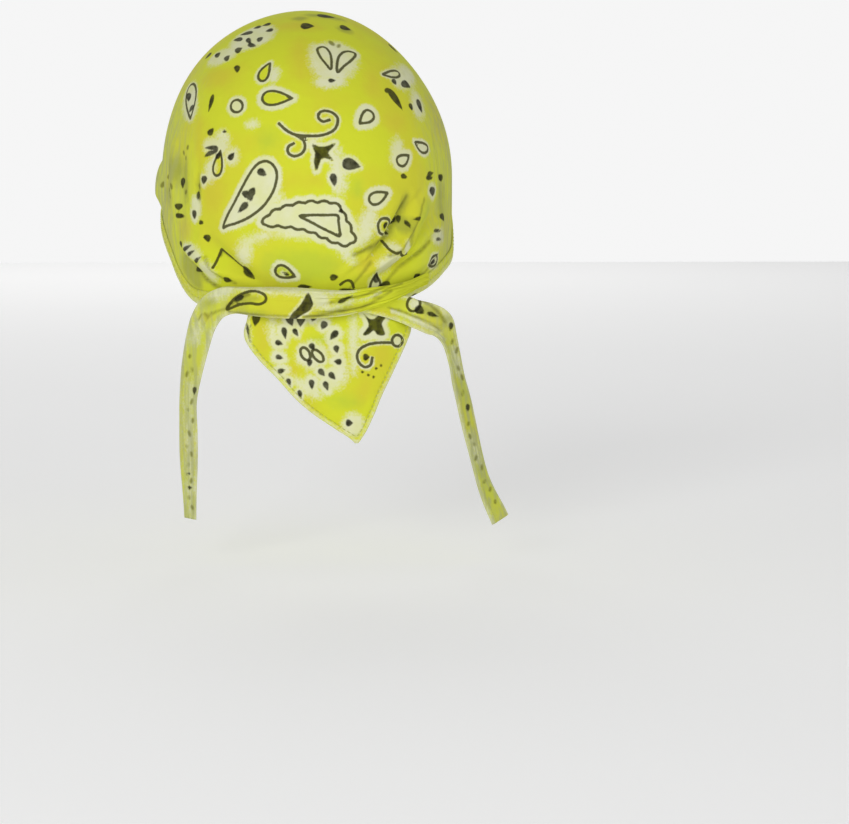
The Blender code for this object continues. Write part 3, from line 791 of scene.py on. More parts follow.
# Each chart holds the print, and also painted shade and highlight: soft shade patches, dark lines of shade
# along creases, and pale lines of highlight along some ridges.
CROWN_CHART = Chart(
    leaves=each(
        Leaf,
        (265.5, 72, -62, 20, 9.5), (277.5, 97.5, 0, 30, 14, 6), (366.8, 118, 140, 17, 12, 7, True),
        (391.5, 74, 178, 18, 7, 3, True), (421.5, 146, 215, 16, 9, 4, True),
        (403.5, 159.5, -35, 14, 11, 6, True), (379, 197, -24, 20, 12, 6, True), (284, 272.5, 22, 21, 12, 5),
        (190.5, 101, 92, 35, 11, 3, True), (217.5, 163, -80, 25, 9, 3.5), (374.5, 284, -86, 22, 11, 2, True),
    ),
    rings=each(Ring, (236.5, 106, 12, 12.5, 20, 5), (432.5, 260, 10, 12, 20, 3)),
    seeds=each(
        Seed,
        (238, 40.5, 175, 10, 4.5), (249.5, 41, 50, 7, 5), (260.5, 40, -30, 7, 4.5), (253, 46, 10, 9, 4.5),
        (239.5, 50, -30, 8, 5.5), (218.5, 55.5, -40, 7, 5), (228, 58.5, -45, 7, 5), (237, 69, 85, 8, 6),
        (247, 34, 170, 14, 4), (258, 28, 165, 8, 3.5), (267, 25, 165, 9, 3.5), (270, 31, 165, 8, 3.5),
        (209, 56, 135, 9, 4), (211.5, 103, 100, 19, 4, 0, 0.08), (211.7, 131, -50, 9, 6),
        (211.5, 147.3, 178, 14, 4.5), (208, 153.5, 150, 12, 4.5), (214, 151, 130, 9, 4),
        (218, 155, -60, 8, 5), (231.3, 156, -50, 9, 6), (204.7, 180, 100, 9, 6, 3),
        (194, 214.5, 85, 10, 4.5, 4), (197.5, 196, 95, 10, 3), (180.5, 183, 100, 11, 6),
        (178.5, 206.5, 90, 7, 5), (179.5, 215, 10, 8, 5), (205, 238, 80, 8, 7), (201.5, 221.5, 0, 6, 4.5),
        (284.5, 273.5, 200, 8, 3.4), (227, 279, 10, 9, 6), (189, 97, 85, 9, 6), (191.5, 109, 120, 9, 3.5),
        (332, 80.5, 0, 8, 4), (327, 17, 8, 19, 5.5), (308, 26.5, 0, 14, 6.5), (346, 28.5, 20, 12, 5),
        (396.5, 100, 56, 26, 6.5), (389, 90.5, 10, 10, 5), (420, 106, 72, 15, 4.5), (395, 82, 60, 7, 4.5),
        (406.5, 85, 30, 11, 7), (410.5, 107, 70, 8, 4), (393, 49, 48, 13, 4), (352, 164, 14, 19, 12, 3),
        (334.5, 180, 80, 14, 7, 3), (262, 172.5, 35, 11, 7.5), (245, 193.5, 200, 9, 7.5),
        (252, 190.5, -60, 9, 7.5), (249.5, 196.5, 70, 9, 7), (243, 206.5, 135, 13, 6.5),
        (240.5, 209.5, 135, 9, 4), (383.8, 225.5, 95, 8, 5.5), (387.5, 302, 0, 8, 6),
        (417.5, 276, -25, 8, 6), (432.5, 191.5, 85, 10, 6, 4), (429.5, 177, 10, 8, 5),
        (441.5, 178, 80, 8, 4), (405, 176, 25, 8, 5), (303.5, 286.5, 0, 15, 5.5), (333.5, 277, -15, 9, 6.5),
        (347, 290, 0, 19, 4), (433, 261, 0, 7, 6), (438, 238.5, 10, 9, 3.5), (436.5, 230, 5, 10, 3.5),
        (441.5, 217, 60, 9, 6), (181.5, 243.5, 80, 7, 4), (189, 247, -35, 12, 4), (194, 252, -35, 11, 3.6),
        (200, 258, -40, 10, 4), (197.5, 269.5, 20, 10, 6), (246, 273.5, 40, 19, 8.5),
        (380.5, 288, 90, 9, 7.5), (386.5, 286, 80, 11, 9), (387.5, 292, -50, 9, 8),
        (397.5, 222, 118, 9, 3.6), (402, 219.5, 100, 9, 3.6), (407, 223.5, 82, 8, 3.4),
        (414.5, 218, 175, 8, 4), (431, 173, 0, 7, 4), (375.5, 277.5, -88, 10, 6), (412, 297, 150, 10, 4.5),
        (340, 211, 30, 6, 4), (226, 131, 20, 5, 3),
    ),
    lines=(
        Line(STROKE, ((281, 122), (287, 128), (294, 132.5), (302, 134.5), (318, 135), (330, 132), (337, 126),
            (338.5, 117), (333, 111.5), (325, 110), (319.5, 113), (319.5, 118), (324, 121),
            (329, 119.5)), halo=3),
        Line(STROKE, ((298, 135.5), (304, 140), (305.5, 147), (302, 153), (295, 155.5), (289, 152.5),
            (288.5, 146.5), (293, 143.5)), halo=3),
        Line(INK, ((311, 144), (318, 146.5), (326, 146), (334.5, 143), (329.5, 149.5), (327, 153),
            (332.5, 160.5), (324.5, 158), (320, 159), (318, 164.5), (315, 170.5), (313, 161),
            (314, 153)), halo=4),
        Line(OUTLINE, ((317, 49.5), (322, 47), (327, 49.5), (330.5, 57), (330.5, 69), (325, 64),
            (319.5, 57)), halo=5),
        Line(OUTLINE, ((337.5, 71.5), (337.5, 60), (342, 53), (349, 51), (356, 53.5), (351, 60.5),
            (344, 66)), halo=5),
        Line(OUTLINE, ((220, 227.5), (224.5, 216), (232, 203.5), (240, 189), (248, 174.5), (255, 164.5),
            (263, 160.5), (270.5, 164), (274.5, 172.5), (273.5, 184), (269, 195.5), (260.5, 207),
            (248, 216.5), (235, 222.5), (225, 225.5)), halo=5.5, pale=True),
        Line(OUTLINE, ((263.5, 225), (268, 218), (275.5, 212), (285, 208), (296, 205), (307, 203), (318, 203),
            (329, 203.5), (338, 207), (342, 213.5), (346.5, 221.5), (350.5, 231), (353.5, 241), (345.5, 245),
            (334, 241.5), (323, 236.5), (312, 231), (300, 228), (287, 226),
            (275, 225.5)), halo=6, scallop=2.2, scallops=17, pale=True),
        Line(OUTLINE, ((300, 215.5), (313, 214.5), (326, 214.5), (337.5, 215), (338.5, 221), (339.5, 229),
            (340, 236), (331, 232), (321, 227), (310, 221)), pale=True),
        Line(STROKE, ((214, 265), (214.5, 257), (217.5, 249.5), (222, 252.5), (228, 257), (235, 264),
            (242, 270))),
        Line(STROKE, ((386.5, 243), (388, 249), (392, 252), (395, 250.5), (398, 254), (402, 256),
            (407, 254.5))),
        Line(STROKE, ((389.5, 229), (390, 223), (386, 218.5), (380, 218.5), (376.5, 224), (378, 231),
            (384, 235), (391, 234.5)), halo=2.5),
        # Painted shade along the creases of the folds, at the lower left and in the right-hand gathers.
        Line(CREASE_SHADE_AND_MARKS, ((216, 256), (218, 250.5), (223, 254), (230, 260), (238, 267)), halo=1.5),
        Line(CREASE_SHADE_AND_MARKS, ((410, 197), (403, 210), (396, 221), (389, 231), (380, 241), (369, 248),
            (357, 254)), halo=1.3, soft=2.4),
        Line(CREASE_SHADE_AND_MARKS, ((434, 243), (424, 252), (412, 260), (400, 268), (391, 277),
            (385, 286)), halo=0.6, soft=2.2),
        Line(CREASE_SHADE_AND_MARKS, ((440, 256), (430, 268), (420, 277), (407, 286), (396, 292)), halo=0.9, soft=2.2),
        Line(CREASE_SHADE_AND_MARKS, ((426, 199), (419, 213), (412, 225), (406, 236), (398, 247),
            (388, 254)), halo=0.5, soft=2.4),
        Line(CREASE_SHADE_AND_MARKS, ((372, 262), (364, 270), (356, 280), (349, 290)), halo=0.5, soft=2.2),
        Line(CREASE_SHADE_AND_MARKS, ((193, 262), (199, 272), (208, 280), (219, 286)), halo=0.8, soft=2.2),
        Line(CREASE_SHADE_AND_MARKS, ((205, 257), (213, 268), (222, 277), (234, 283)), halo=0.6, soft=2.2),
        # Painted highlight along a fold ridge in the right-hand gathers.
        Line(PALE, ((398, 256), (388, 263), (377, 271), (370, 281)), halo=1.6, soft=2.6),
        Line(STROKE, ((342, 284), (347, 280.5), (352, 282), (354, 287))),
    ),
    grounds={
        PALE: each(
            Patch,
            (335, 60, 46, 40, 0, 5), (331, 81, 32, 12, 0, 4), (315, 56, 10, 24, 0, 5),
            (244, 250, 14, 28, 10, 6), (257, 238, 40, 9, -22, 5), (300, 235, 56, 7, 2, 5),
            (282, 273.5, 6, 4.5, 0, 2), (345, 252, 30, 9, 50, 5), (386, 263, 24, 16, -38, 4),
            (340, 172, 14, 46, -6, 6), (396, 150, 12, 26, 8, 5), (366, 226, 16, 42, 18, 6),
            (252, 37, 50, 20, -22, 4), (222, 57, 32, 13, -25, 4), (190, 101, 15, 40, 3, 4),
            (216, 146, 26, 18, 0, 4), (222, 137, 14, 12, 30, 5), (231, 156, 15, 17, 0, 4),
            (252, 124, 14, 8, -10, 4), (195, 207, 10, 26, 0, 4), (210, 171, 10, 24, 10, 5),
            (404, 76, 26, 24, 30, 5), (418, 104, 12, 28, -14, 5), (438, 236, 14, 16, 0, 4),
            (193, 251, 24, 12, 38, 3), (209, 270, 14, 22, -32, 5), (270, 206, 14, 34, 35, 6),
            (275, 74, 9, 16, 20, 4), (393, 247, 10, 9, 20, 3), (404, 246, 7, 17, 4, 3),
        ),
        WARM: each(
            Patch,
            (300, 27, 44, 9, 0, 7), (299, 58, 18, 42, -5, 8), (216, 78, 30, 18, -20, 7),
            (372, 84, 14, 26, 0, 7), (214, 192, 20, 36, 12, 7), (200, 140, 8, 44, 0, 6),
            (395, 122, 22, 16, 0, 7), (368, 262, 20, 12, -40, 7), (306, 180, 36, 14, 0, 9),
            (184, 228, 14, 24, 0, 6),
        ),
        GREEN: each(
            Patch,
            (300, 266, 78, 34, 0, 8), (356, 188, 12, 18, 0, 6), (267, 140, 18, 18, 0, 9),
            (425, 214, 9, 26, 22, 6),
        ),
        # Painted shade: in the right-hand gathers, at the lower left where the wall turns under, down the
        # left and right sides and across the top.
        PAINTED_SHADE: each(
            Patch,
            (405, 206, 9, 26, 22, 5), (392, 232, 8, 24, 38, 4), (377, 246, 24, 7, -32, 4),
            (403, 224, 15, 20, -10, 4), (410, 232, 4, 30, 4, 3), (190, 271, 14, 40, -29, 4),
            (207, 280, 26, 5, 33, 3), (174, 168, 14, 30, 0, 9), (185, 180, 7, 44, 0, 6),
            (198, 188, 4, 26, 0, 4), (168, 192, 12, 22, 0, 8), (441, 200, 8, 40, 0, 9),
            (325, 17, 40, 6, 6, 5), (345, 30, 16, 6, 18, 4), (300, 19, 16, 5, -4, 4),
        ),
        # Dark crease-coloured marks: two small ones at the top and a cluster at the crown's left edge.
        CREASE_SHADE_AND_MARKS: each(Patch, (331.5, 44, 7.5, 3.6, 35, 1.2), (338.5, 46, 4.5, 3, -40, 1.2))
        + small_marks(
            (163, 184), (167.5, 187.5), (163.5, 193), (168.5, 195), (173, 186), (161.5, 201), (184.5, 192),
            (198, 186), (198.5, 197), (182, 152), (166, 176), (188.5, 147), (185, 158),
        ),
    },
)
FLAP_CHART = Chart(
    rings=each(Ring, (304.5, 354, 14, 8.5, 62, 4), (317, 356, 15, 8, 48, 4), (397, 341, 10.5, 11.5, 0, 2)),
    seeds=each(
        Seed,
        (289.5, 320.5, 70, 12, 8, 4), (283.7, 333, 80, 12, 5.5, 5), (278.3, 343, 20, 8, 5.5, 5),
        (278.5, 357.5, 15, 8, 5, 5), (280.5, 371, -15, 8, 5, 5), (295, 332.5, 60, 9, 5, 3),
        (300, 320, 95, 14, 9, 4), (313, 317, 110, 10, 7, 4), (323, 325.5, 115, 9, 7, 4),
        (333, 335.5, 130, 12, 6.5, 5), (335.8, 349.5, 80, 8, 6, 5), (337, 362, 188, 8, 6, 5),
        (321, 373, 50, 9, 6, 4), (331.5, 376.5, 50, 9, 6, 5), (310.8, 385, 85, 10, 5.5, 5),
        (325.5, 386.5, 70, 10, 5.5, 5), (288, 382.5, 70, 8, 4.5, 3), (299, 395, 80, 9, 4.5, 3),
        (311.6, 347, 60, 8, 6), (308.7, 363.5, 100, 8, 5.5), (255, 320, 100, 13, 8), (366, 357.5, 0, 7, 7),
        (348.6, 424, 0, 7, 7), (362, 372.5, 0, 3, 2.6), (368, 375.5, 0, 3, 2.6), (373.5, 377.5, 0, 3, 2.6),
        (376, 369, 0, 3, 2.6), (381, 366, 0, 3, 2.6), (247.5, 333, 80, 20, 2.4),
    ),
    lines=(
        Line(INK, ((363.5, 314), (368.5, 318.5), (374, 319), (379.5, 314.5), (385, 317), (381.5, 324),
            (384.5, 334.5), (377.5, 335), (373.5, 330.5), (368, 334.5), (362.5, 335), (368, 326.5),
            (367, 320)), halo=5),
        Line(STROKE, ((391, 343), (378, 343), (367, 345), (359.5, 349.5), (356.5, 356), (358.5, 363),
            (364, 367.5), (370, 365.5), (371.5, 359.5)), halo=2.5),
    ),
    grounds={
        PALE: each(
            Patch,
            (311, 355, 32, 28, 0, 4), (353, 345, 9, 60, 0, 5), (352, 426, 22, 24, 0, 4),
            (372, 338, 22, 5, 0, 3), (272, 330, 9, 24, 0, 6), (246, 330, 7, 26, -8, 3),
            (336, 376, 20, 30, 20, 6), (305, 388, 34, 12, 35, 5),
        ),
        WARM: each(
            Patch,
            (262, 338, 16, 30, -8, 6), (382, 356, 20, 26, 20, 6), (293, 372, 14, 14, 0, 6),
            (362, 392, 10, 30, 20, 6),
        ),
        GREEN: each(
            Patch,
            (344, 402, 30, 12, 10, 7), (318, 340, 22, 8, 0, 6),
        ),
    },
)
OVER_CHART = Chart(
    seeds=each(
        Seed,
        (345, 299, -25, 17, 4), (236, 299.5, 150, 16, 5), (193, 391, 95, 8, 4), (186.5, 475, 20, 4, 4),
        (187.5, 489, 0, 4.5, 4),
    ),
    lines=(
        Line(OUTLINE, ((226, 309), (231, 301), (239, 294.5), (249, 291), (258, 291.5), (264.5, 295.5),
            (264.5, 301), (258, 304), (249, 303), (238, 304.5))),
        Line(INK, ((307.5, 292.5), (311, 299), (312.5, 306), (308, 311), (301, 315), (294, 319.5), (287, 322),
            (291, 314), (298, 307), (303, 299.5)), halo=2),
        # Painted shade along the strap's folds, at its bend and under its edges.
        Line(CREASE_SHADE_AND_MARKS, ((197, 320), (202, 313.5), (211, 311.5), (207, 317.5)), halo=0.5, soft=1.2),
        Line(CREASE_SHADE_AND_MARKS, ((227, 306), (233, 300.5), (241, 296), (248, 294)), halo=1.8, soft=1.8),
        Line(CREASE_SHADE_AND_MARKS, ((303, 317), (318, 315.5), (334, 312), (350, 309.5), (364, 306), (378, 299),
            (391, 291)), halo=0.8, soft=1.8),
        Line(CREASE_SHADE_AND_MARKS, ((330, 302), (345, 299), (360, 296), (374, 291), (390, 284),
            (404, 279)), halo=0.5, soft=1.8),
        Line(CREASE_SHADE_AND_MARKS, ((345, 305), (360, 301.5), (374, 296.5), (388, 288.5), (402, 283)), halo=0.3),
        # Painted highlight along a pleat ridge between the shaded folds.
        Line(PALE, ((322, 309), (338, 306.5), (352, 303), (366, 299), (380, 292.5)), halo=1, soft=1.8),
        Line(CREASE_SHADE_AND_MARKS, ((226, 308), (214, 312), (204, 320), (198, 332)), halo=0.6, soft=2),
        Line(CREASE_SHADE_AND_MARKS, ((228, 311), (246, 313.5), (266, 315), (288, 316)), halo=0.4),
    ),
    grounds={
        PALE: each(
            Patch,
            (222, 291, 34, 12, -28, 5), (318, 298, 18, 22, -30, 4), (195, 332, 10, 26, 15, 5),
            (340, 306, 30, 4, -20, 4), (188, 430, 9, 100, 0, 9), (189, 500, 9, 40, 0, 9),
        ),
        WARM: each(
            Patch,
            (206, 317, 13, 8, 0, 4),
        ),
        # Painted shade at the bend, under the strap's lower edge and on the tail.
        PAINTED_SHADE: each(
            Patch,
            (244, 300, 26, 6, -10, 4), (208, 303, 14, 9, -40, 5), (250, 313, 36, 4, 4, 4),
            (330, 313, 40, 4, -14, 4), (191, 506, 2.5, 22, 0, 2),
        ),
        CREASE_SHADE_AND_MARKS: small_marks(
            (188.5, 356), (190.5, 369), (185.5, 374), (190, 402), (186, 410), (191, 421), (187.5, 434),
            (185, 447), (189.5, 455), (186, 466), (189, 482), (186.5, 499), (190, 509),
        ),
    },
)
UNDER_CHART = Chart(
    rings=each(Ring, (413.5, 304, 13, 15, 20)),
    seeds=each(
        Seed,
        (420, 310.5, 35, 11, 9), (433, 315, 20, 12, 4.5), (451, 327, 100, 9, 4.5), (468, 410, 95, 10, 4),
    ),
    lines=(
        # Painted highlights along the strap's upper and lower folded edges.
        Line(PALE, ((408, 291), (422, 294.5), (435, 302), (444, 312), (450, 325)), halo=2, soft=1.8),
        Line(PALE, ((392, 311), (407, 316.5), (422, 323.5), (436, 332), (444, 340)), halo=1.6, soft=1.8),
        # Painted shade in the folds beside them.
        Line(CREASE_SHADE_AND_MARKS, ((388, 307), (402, 311.5), (416, 317), (430, 323.5), (441, 331)), halo=0.7, soft=1.8),
        Line(CREASE_SHADE_AND_MARKS, ((416, 298), (428, 304), (438, 312), (445, 322)), halo=1.2, soft=2),
    ),
    grounds={
        PALE: each(
            Patch,
            (415, 303, 12, 13, 0, 3), (431, 299, 36, 6, 38, 4), (424, 325, 38, 6, 24, 3),
            (457, 362, 9, 30, -14, 6), (476, 452, 9, 34, -20, 6),
        ),
        WARM: each(
            Patch,
            (385, 313, 26, 6, 12, 4),
        ),
        GREEN: each(
            Patch,
            (464, 390, 7, 30, -12, 5),
        ),
        # Painted shade where the strap twists.
        PAINTED_SHADE: each(
            Patch,
            (432, 313, 26, 9, 28, 4), (446, 322, 8, 16, 30, 3),
        ),
        CREASE_SHADE_AND_MARKS: small_marks(
            (452.5, 342), (457, 351), (458.5, 369), (462.5, 378), (463, 394), (469, 425), (470.5, 438),
            (475, 446), (476.5, 460), (482.5, 470), (485, 484), (491, 492), (496, 505),
        ),
    },
)

STEP_INPUTS = ("From Min", "From Max", "To Min", "To Max")


class Step(NamedTuple):
    """A smooth step: where it starts and ends, and what it gives below and above."""

    low: float
    high: float
    start: float
    end: float


class Cloud(NamedTuple):
    """A cloudy pattern: how fine it is, how many layers it has and how rough they are."""

    scale: float
    detail: float = 2.0
    roughness: float = 0.5


class Wiring:
    """Adds and joins the nodes of one finish."""

    def __init__(self, name: str) -> None:
        """Starts a finish with a bare shader.

        Args:
            name: The finish's name.
        """
        self.material = bpy.data.materials.new(name)
        self.material.use_nodes = True
        self.tree = self.material.node_tree
        self.shader = self.tree.nodes["Principled BSDF"]

    def node(self, kind: str, entries: dict[str, object] | None = None, **settings: object) -> bpy.types.Node:
        """A new node.

        Args:
            kind: Its kind.
            entries: Plain values for its inputs.
            settings: Its settings.

        Returns:
            The node.
        """
        made = self.tree.nodes.new("ShaderNode" + kind)
        for name, value in settings.items():
            setattr(made, name, value)
        for name, value in (entries or {}).items():
            made.inputs[name].default_value = value
        return made

    def join(self, source: object, target: Socket) -> None:
        """Links a socket, or sets a plain value, to an input.

        Args:
            source: The socket or the value.
            target: The input.
        """
        if isinstance(source, Socket):
            self.tree.links.new(source, target)
        else:
            target.default_value = source

    def maths(self, operation: str, *values: object) -> Socket:
        """A sum, product or other step on numbers.

        Args:
            operation: The step.
            values: What it takes.

        Returns:
            The result.
        """
        made = self.node("Math", operation=operation)
        for value, target in zip(values, made.inputs):
            self.join(value, target)
        return made.outputs[0]

    def total(self, first: Socket, *others: Socket) -> Socket:
        """The sum of numbers.

        Args:
            first: The first number.
            others: The rest.

        Returns:
            Their sum.
        """
        for other in others:
            first = self.maths("ADD", first, other)
        return first

    def attribute(self, name: str) -> Socket:
        """A number that the cloth carries."""
        return self.node("Attribute", attribute_name=name).outputs["Fac"]

    def noise(self, cloud: Cloud) -> Socket:
        """A cloudy pattern from 0 to 1 in the object's own space.

        Args:
            cloud: How it looks.

        Returns:
            The pattern.
        """
        made = self.node("TexNoise", dict(zip(("Scale", "Detail", "Roughness"), cloud)))
        self.join(self.node("TexCoord").outputs["Object"], made.inputs["Vector"])
        return made.outputs["Fac"]

    def wobble(self, cloud: Cloud, size: float) -> Socket:
        """A cloudy pattern about nothing, which frays an edge."""
        return self.maths("MULTIPLY", self.maths("SUBTRACT", self.noise(cloud), 0.5), size)

    def grain_down(self, squeeze: Place) -> Socket:
        """Long streaks that run down the piece.

        Args:
            squeeze: How close the streaks are in each direction.

        Returns:
            The pattern.
        """
        made = self.node("TexNoise", {"Scale": 1.0})
        mapped = self.node("Mapping", {"Scale": squeeze})
        self.join(self.node("TexCoord").outputs["Object"], mapped.inputs["Vector"])
        self.join(mapped.outputs["Vector"], made.inputs["Vector"])
        return made.outputs["Fac"]

    def ramp(self, value: object, step: Step) -> Socket:
        """A smooth step between two values.

        Args:
            value: What is read.
            step: The step.

        Returns:
            The stepped value.
        """
        made = self.node("MapRange", dict(zip(STEP_INPUTS, step)), interpolation_type="SMOOTHSTEP")
        self.join(value, made.inputs["Value"])
        return made.outputs["Result"]

    def mix(self, share: object, first: object, second: object) -> Socket:
        """A blend of two colours.

        Args:
            share: How much of the second.
            first: The first colour.
            second: The second colour.

        Returns:
            The blended colour.
        """
        made = self.node("Mix", data_type="RGBA")
        self.join(share, made.inputs["Factor"])
        targets = [entry for entry in made.inputs if entry.type == "RGBA"]
        for target, colour in zip(targets, (first, second)):
            self.join((*colour, 1.0) if isinstance(colour, tuple) else colour, target)
        return [entry for entry in made.outputs if entry.type == "RGBA"][0]

    def bump(self, height: Socket, strength: float, distance: float, under: Socket | None = None) -> Socket:
        """A bump, over another one where there is one.

        Args:
            height: The pattern.
            strength: How strongly it shows.
            distance: How high it stands, in metres.
            under: The bump that it lies on.

        Returns:
            The bumped direction.
        """
        made = self.node("Bump", {"Strength": strength, "Distance": distance})
        self.join(height, made.inputs["Height"])
        if under is not None:
            self.join(under, made.inputs["Normal"])
        return made.outputs["Normal"]

    def finish(self, **sources: object) -> Finish:
        """The finish, with its shader's inputs set. An underscore in a name stands for a space.

        Args:
            sources: Sockets or plain values, by the input's name.

        Returns:
            The finish.
        """
        for name, source in sources.items():
            self.join(source, self.shader.inputs[name.replace("_", " ")])
        return self.material


@dataclass(frozen=True)
class PrintedCotton:
    """Thin matt cotton with a print inked from the cloth's own distances, and painted shade and highlights
    laid from them too.
    """

    name: str
    ground: Colour = (0.610, 0.660, 0.030)
    warm: Colour = (0.610, 0.540, 0.040)
    green: Colour = (0.450, 0.560, 0.045)
    pale: Colour = (0.700, 0.710, 0.480)
    ink: Colour = (0.016, 0.015, 0.006)
    olive: Colour = (0.085, 0.082, 0.012)
    # Painted shade, for the soft shade patches.
    back: Colour = (0.600, 0.640, 0.250)
    # Painted dark shade along creases, also used for small dark marks.
    shade: Colour = (0.330, 0.350, 0.045)
    # Painted grey shade, laid in lengthwise streaks: at the crown's sides, over the edge band and down the
    # hanging tails.
    crease: Colour = (0.165, 0.165, 0.020)
    faded: Colour = (0.380, 0.400, 0.190)
    roughness: float = 0.9
    sheen: float = 0.03
    sheen_roughness: float = 0.6
    gloss: float = 0.09
    show_through: float = 0.72
    thread: float = 0.00050
    threads: float = 0.12
    rumple: float = 0.35
    rumple_height: float = 0.0012
    drift: Cloud = Cloud(26.0, 3.0)
    fray: Cloud = Cloud(240.0, 3.0)
    fray_size: float = 1.6
    crease_shade_fray: float = 0.7
    grain: Cloud = Cloud(820.0, 1.0)
    grain_size: float = 2.2
    wear: Cloud = Cloud(90.0, 3.0)
    line_fray: Cloud = Cloud(650.0, 2.0)
    line_fray_size: float = 0.7
    ink_drift: Cloud = Cloud(180.0)
    blot_wear: Cloud = Cloud(300.0)
    rumples: Cloud = Cloud(75.0, 4.0, 0.55)
    streak_squeeze: Place = (420.0, 420.0, 45.0)
    drift_step: Step = Step(0.40, 0.68, 0.0, 0.5)
    warm_step: Step = Step(-1.3, 1.3, 0.7, 0.0)
    green_step: Step = Step(-1.3, 1.3, 0.6, 0.0)
    wear_step: Step = Step(0.30, 0.70, 0.74, 1.0)
    pale_step: Step = Step(-1.1, 1.1, 0.95, 0.0)
    painted_shade_step: Step = Step(-1.4, 1.2, 0.8, 0.0)
    streak_step: Step = Step(0.35, 0.7, 0.30, 1.0)
    crease_shade_step: Step = Step(-0.9, 1.2, 0.80, 0.0)
    outline_step: Step = Step(0.70, 1.40, 0.93, 0.0)
    stroke_step: Step = Step(0.75, 1.45, 0.93, 0.0)
    stroke_end: Step = Step(1.7, 2.4, 1.0, 0.0)
    blot_step: Step = Step(-0.5, 0.7, 1.0, 0.0)
    blot_wear_step: Step = Step(0.25, 0.75, 0.86, 0.98)

    def material(self) -> Finish:
        """The finish, ready to put on a piece.

        Returns:
            The finish.
        """
        wiring = Wiring(self.name)
        return wiring.finish(
            Base_Color=self.printed(wiring, self.grounds(wiring)),
            Roughness=self.roughness,
            Sheen_Weight=self.sheen,
            Sheen_Roughness=self.sheen_roughness,
            Specular_IOR_Level=self.gloss,
            Normal=self.relief(wiring),
        )

    def grounds(self, wiring: Wiring) -> Socket:
        """The dyed ground with its patches and pale haloes, pale lines of painted highlight, and painted
        shade: soft patches, grey streaks and dark creases.

        Args:
            wiring: The finish's nodes.

        Returns:
            The colour.
        """
        drift = wiring.noise(self.drift)
        wobble = wiring.wobble(self.fray, self.fray_size)
        colour = wiring.mix(wiring.ramp(drift, self.drift_step), self.ground, self.warm)
        for name, tint, step in (("warm", self.warm, self.warm_step), ("green", self.green, self.green_step)):
            colour = wiring.mix(wiring.ramp(wiring.total(wiring.attribute(name), wobble), step), colour, tint)
        # Pale haloes of the print, and pale lines of painted highlight along some fold ridges.
        reach = wiring.total(wiring.attribute("pale"), wobble, wiring.wobble(self.grain, self.grain_size))
        paling = wiring.ramp(wiring.noise(self.wear), self.wear_step)
        share = wiring.maths("MULTIPLY", wiring.ramp(reach, self.pale_step), paling)
        colour = wiring.mix(share, colour, self.pale)
        # Soft patches of painted shade.
        reach = wiring.total(wiring.attribute("olive"), wobble)
        colour = wiring.mix(wiring.ramp(reach, self.painted_shade_step), colour, self.shade)
        # Painted grey shade, in lengthwise streaks.
        streaks = wiring.ramp(wiring.grain_down(self.streak_squeeze), self.streak_step)
        colour = wiring.mix(wiring.maths("MULTIPLY", wiring.attribute("faded"), streaks), colour, self.faded)
        # Painted dark shade along creases, and small dark marks.
        reach = wiring.total(wiring.attribute("crease"), wiring.maths("MULTIPLY", wobble, self.crease_shade_fray))
        return wiring.mix(wiring.ramp(reach, self.crease_shade_step), colour, self.crease)

    def printed(self, wiring: Wiring, ground: Socket) -> Socket:
        """The ground with its dark print over it, and the paler back of the cloth.

        Args:
            wiring: The finish's nodes.
            ground: The ground's colour.

        Returns:
            The colour.
        """
        wobble = wiring.wobble(self.line_fray, self.line_fray_size)
        lines = []
        for name, step in (("leaf", self.outline_step), ("side", self.stroke_step)):
            away = wiring.maths("ABSOLUTE", wiring.attribute(name))
            lines.append(wiring.ramp(wiring.total(away, wobble), step))
        ends = wiring.ramp(wiring.attribute("near"), self.stroke_end)
        share = wiring.maths("MAXIMUM", lines[0], wiring.maths("MULTIPLY", lines[1], ends))
        colour = wiring.mix(share, ground, wiring.mix(wiring.noise(self.ink_drift), self.ink, self.olive))
        blot = wiring.ramp(wiring.total(wiring.attribute("blot"), wobble), self.blot_step)
        solid = wiring.maths("MULTIPLY", blot, wiring.ramp(wiring.noise(self.blot_wear), self.blot_wear_step))
        colour = wiring.mix(solid, colour, self.ink)
        reverse = wiring.maths("MULTIPLY", wiring.attribute("reverse"), self.show_through)
        return wiring.mix(reverse, colour, self.back)

    def relief(self, wiring: Wiring) -> Socket:
        """The weave and the soft rumple of thin cloth.

        Args:
            wiring: The finish's nodes.

        Returns:
            The bumped direction.
        """
        place = wiring.node("UVMap", uv_map="cloth").outputs["UV"]
        threads = []
        for way in ("X", "Y"):
            scale = {"Scale": 2 * math.pi / 20 / self.thread}
            wave = wiring.node("TexWave", scale, wave_type="BANDS", bands_direction=way)
            wiring.join(place, wave.inputs["Vector"])
            threads.append(wave.outputs["Fac"])
        weave = wiring.bump(wiring.maths("MULTIPLY", *threads), self.threads, self.thread / 3)
        return wiring.bump(wiring.noise(self.rumples), self.rumple, self.rumple_height, weave)


@dataclass(frozen=True)
class SewingThread:
    """Spun thread, a little paler than the ground."""

    name: str = "hem_thread"
    colour: Colour = (0.56, 0.60, 0.12)
    darkening: float = 0.7
    roughness: float = 0.7
    twist: Cloud = Cloud(1400.0, 1.0)
    twist_strength: float = 0.5
    twist_height: float = 0.0001

    def material(self) -> Finish:
        """The finish, ready to put on stitches.

        Returns:
            The finish.
        """
        wiring = Wiring(self.name)
        twist = wiring.noise(self.twist)
        darker = tuple(self.darkening * part for part in self.colour)
        return wiring.finish(
            Base_Color=wiring.mix(twist, self.colour, darker),
            Roughness=self.roughness,
            Normal=wiring.bump(twist, self.twist_strength, self.twist_height),
        )


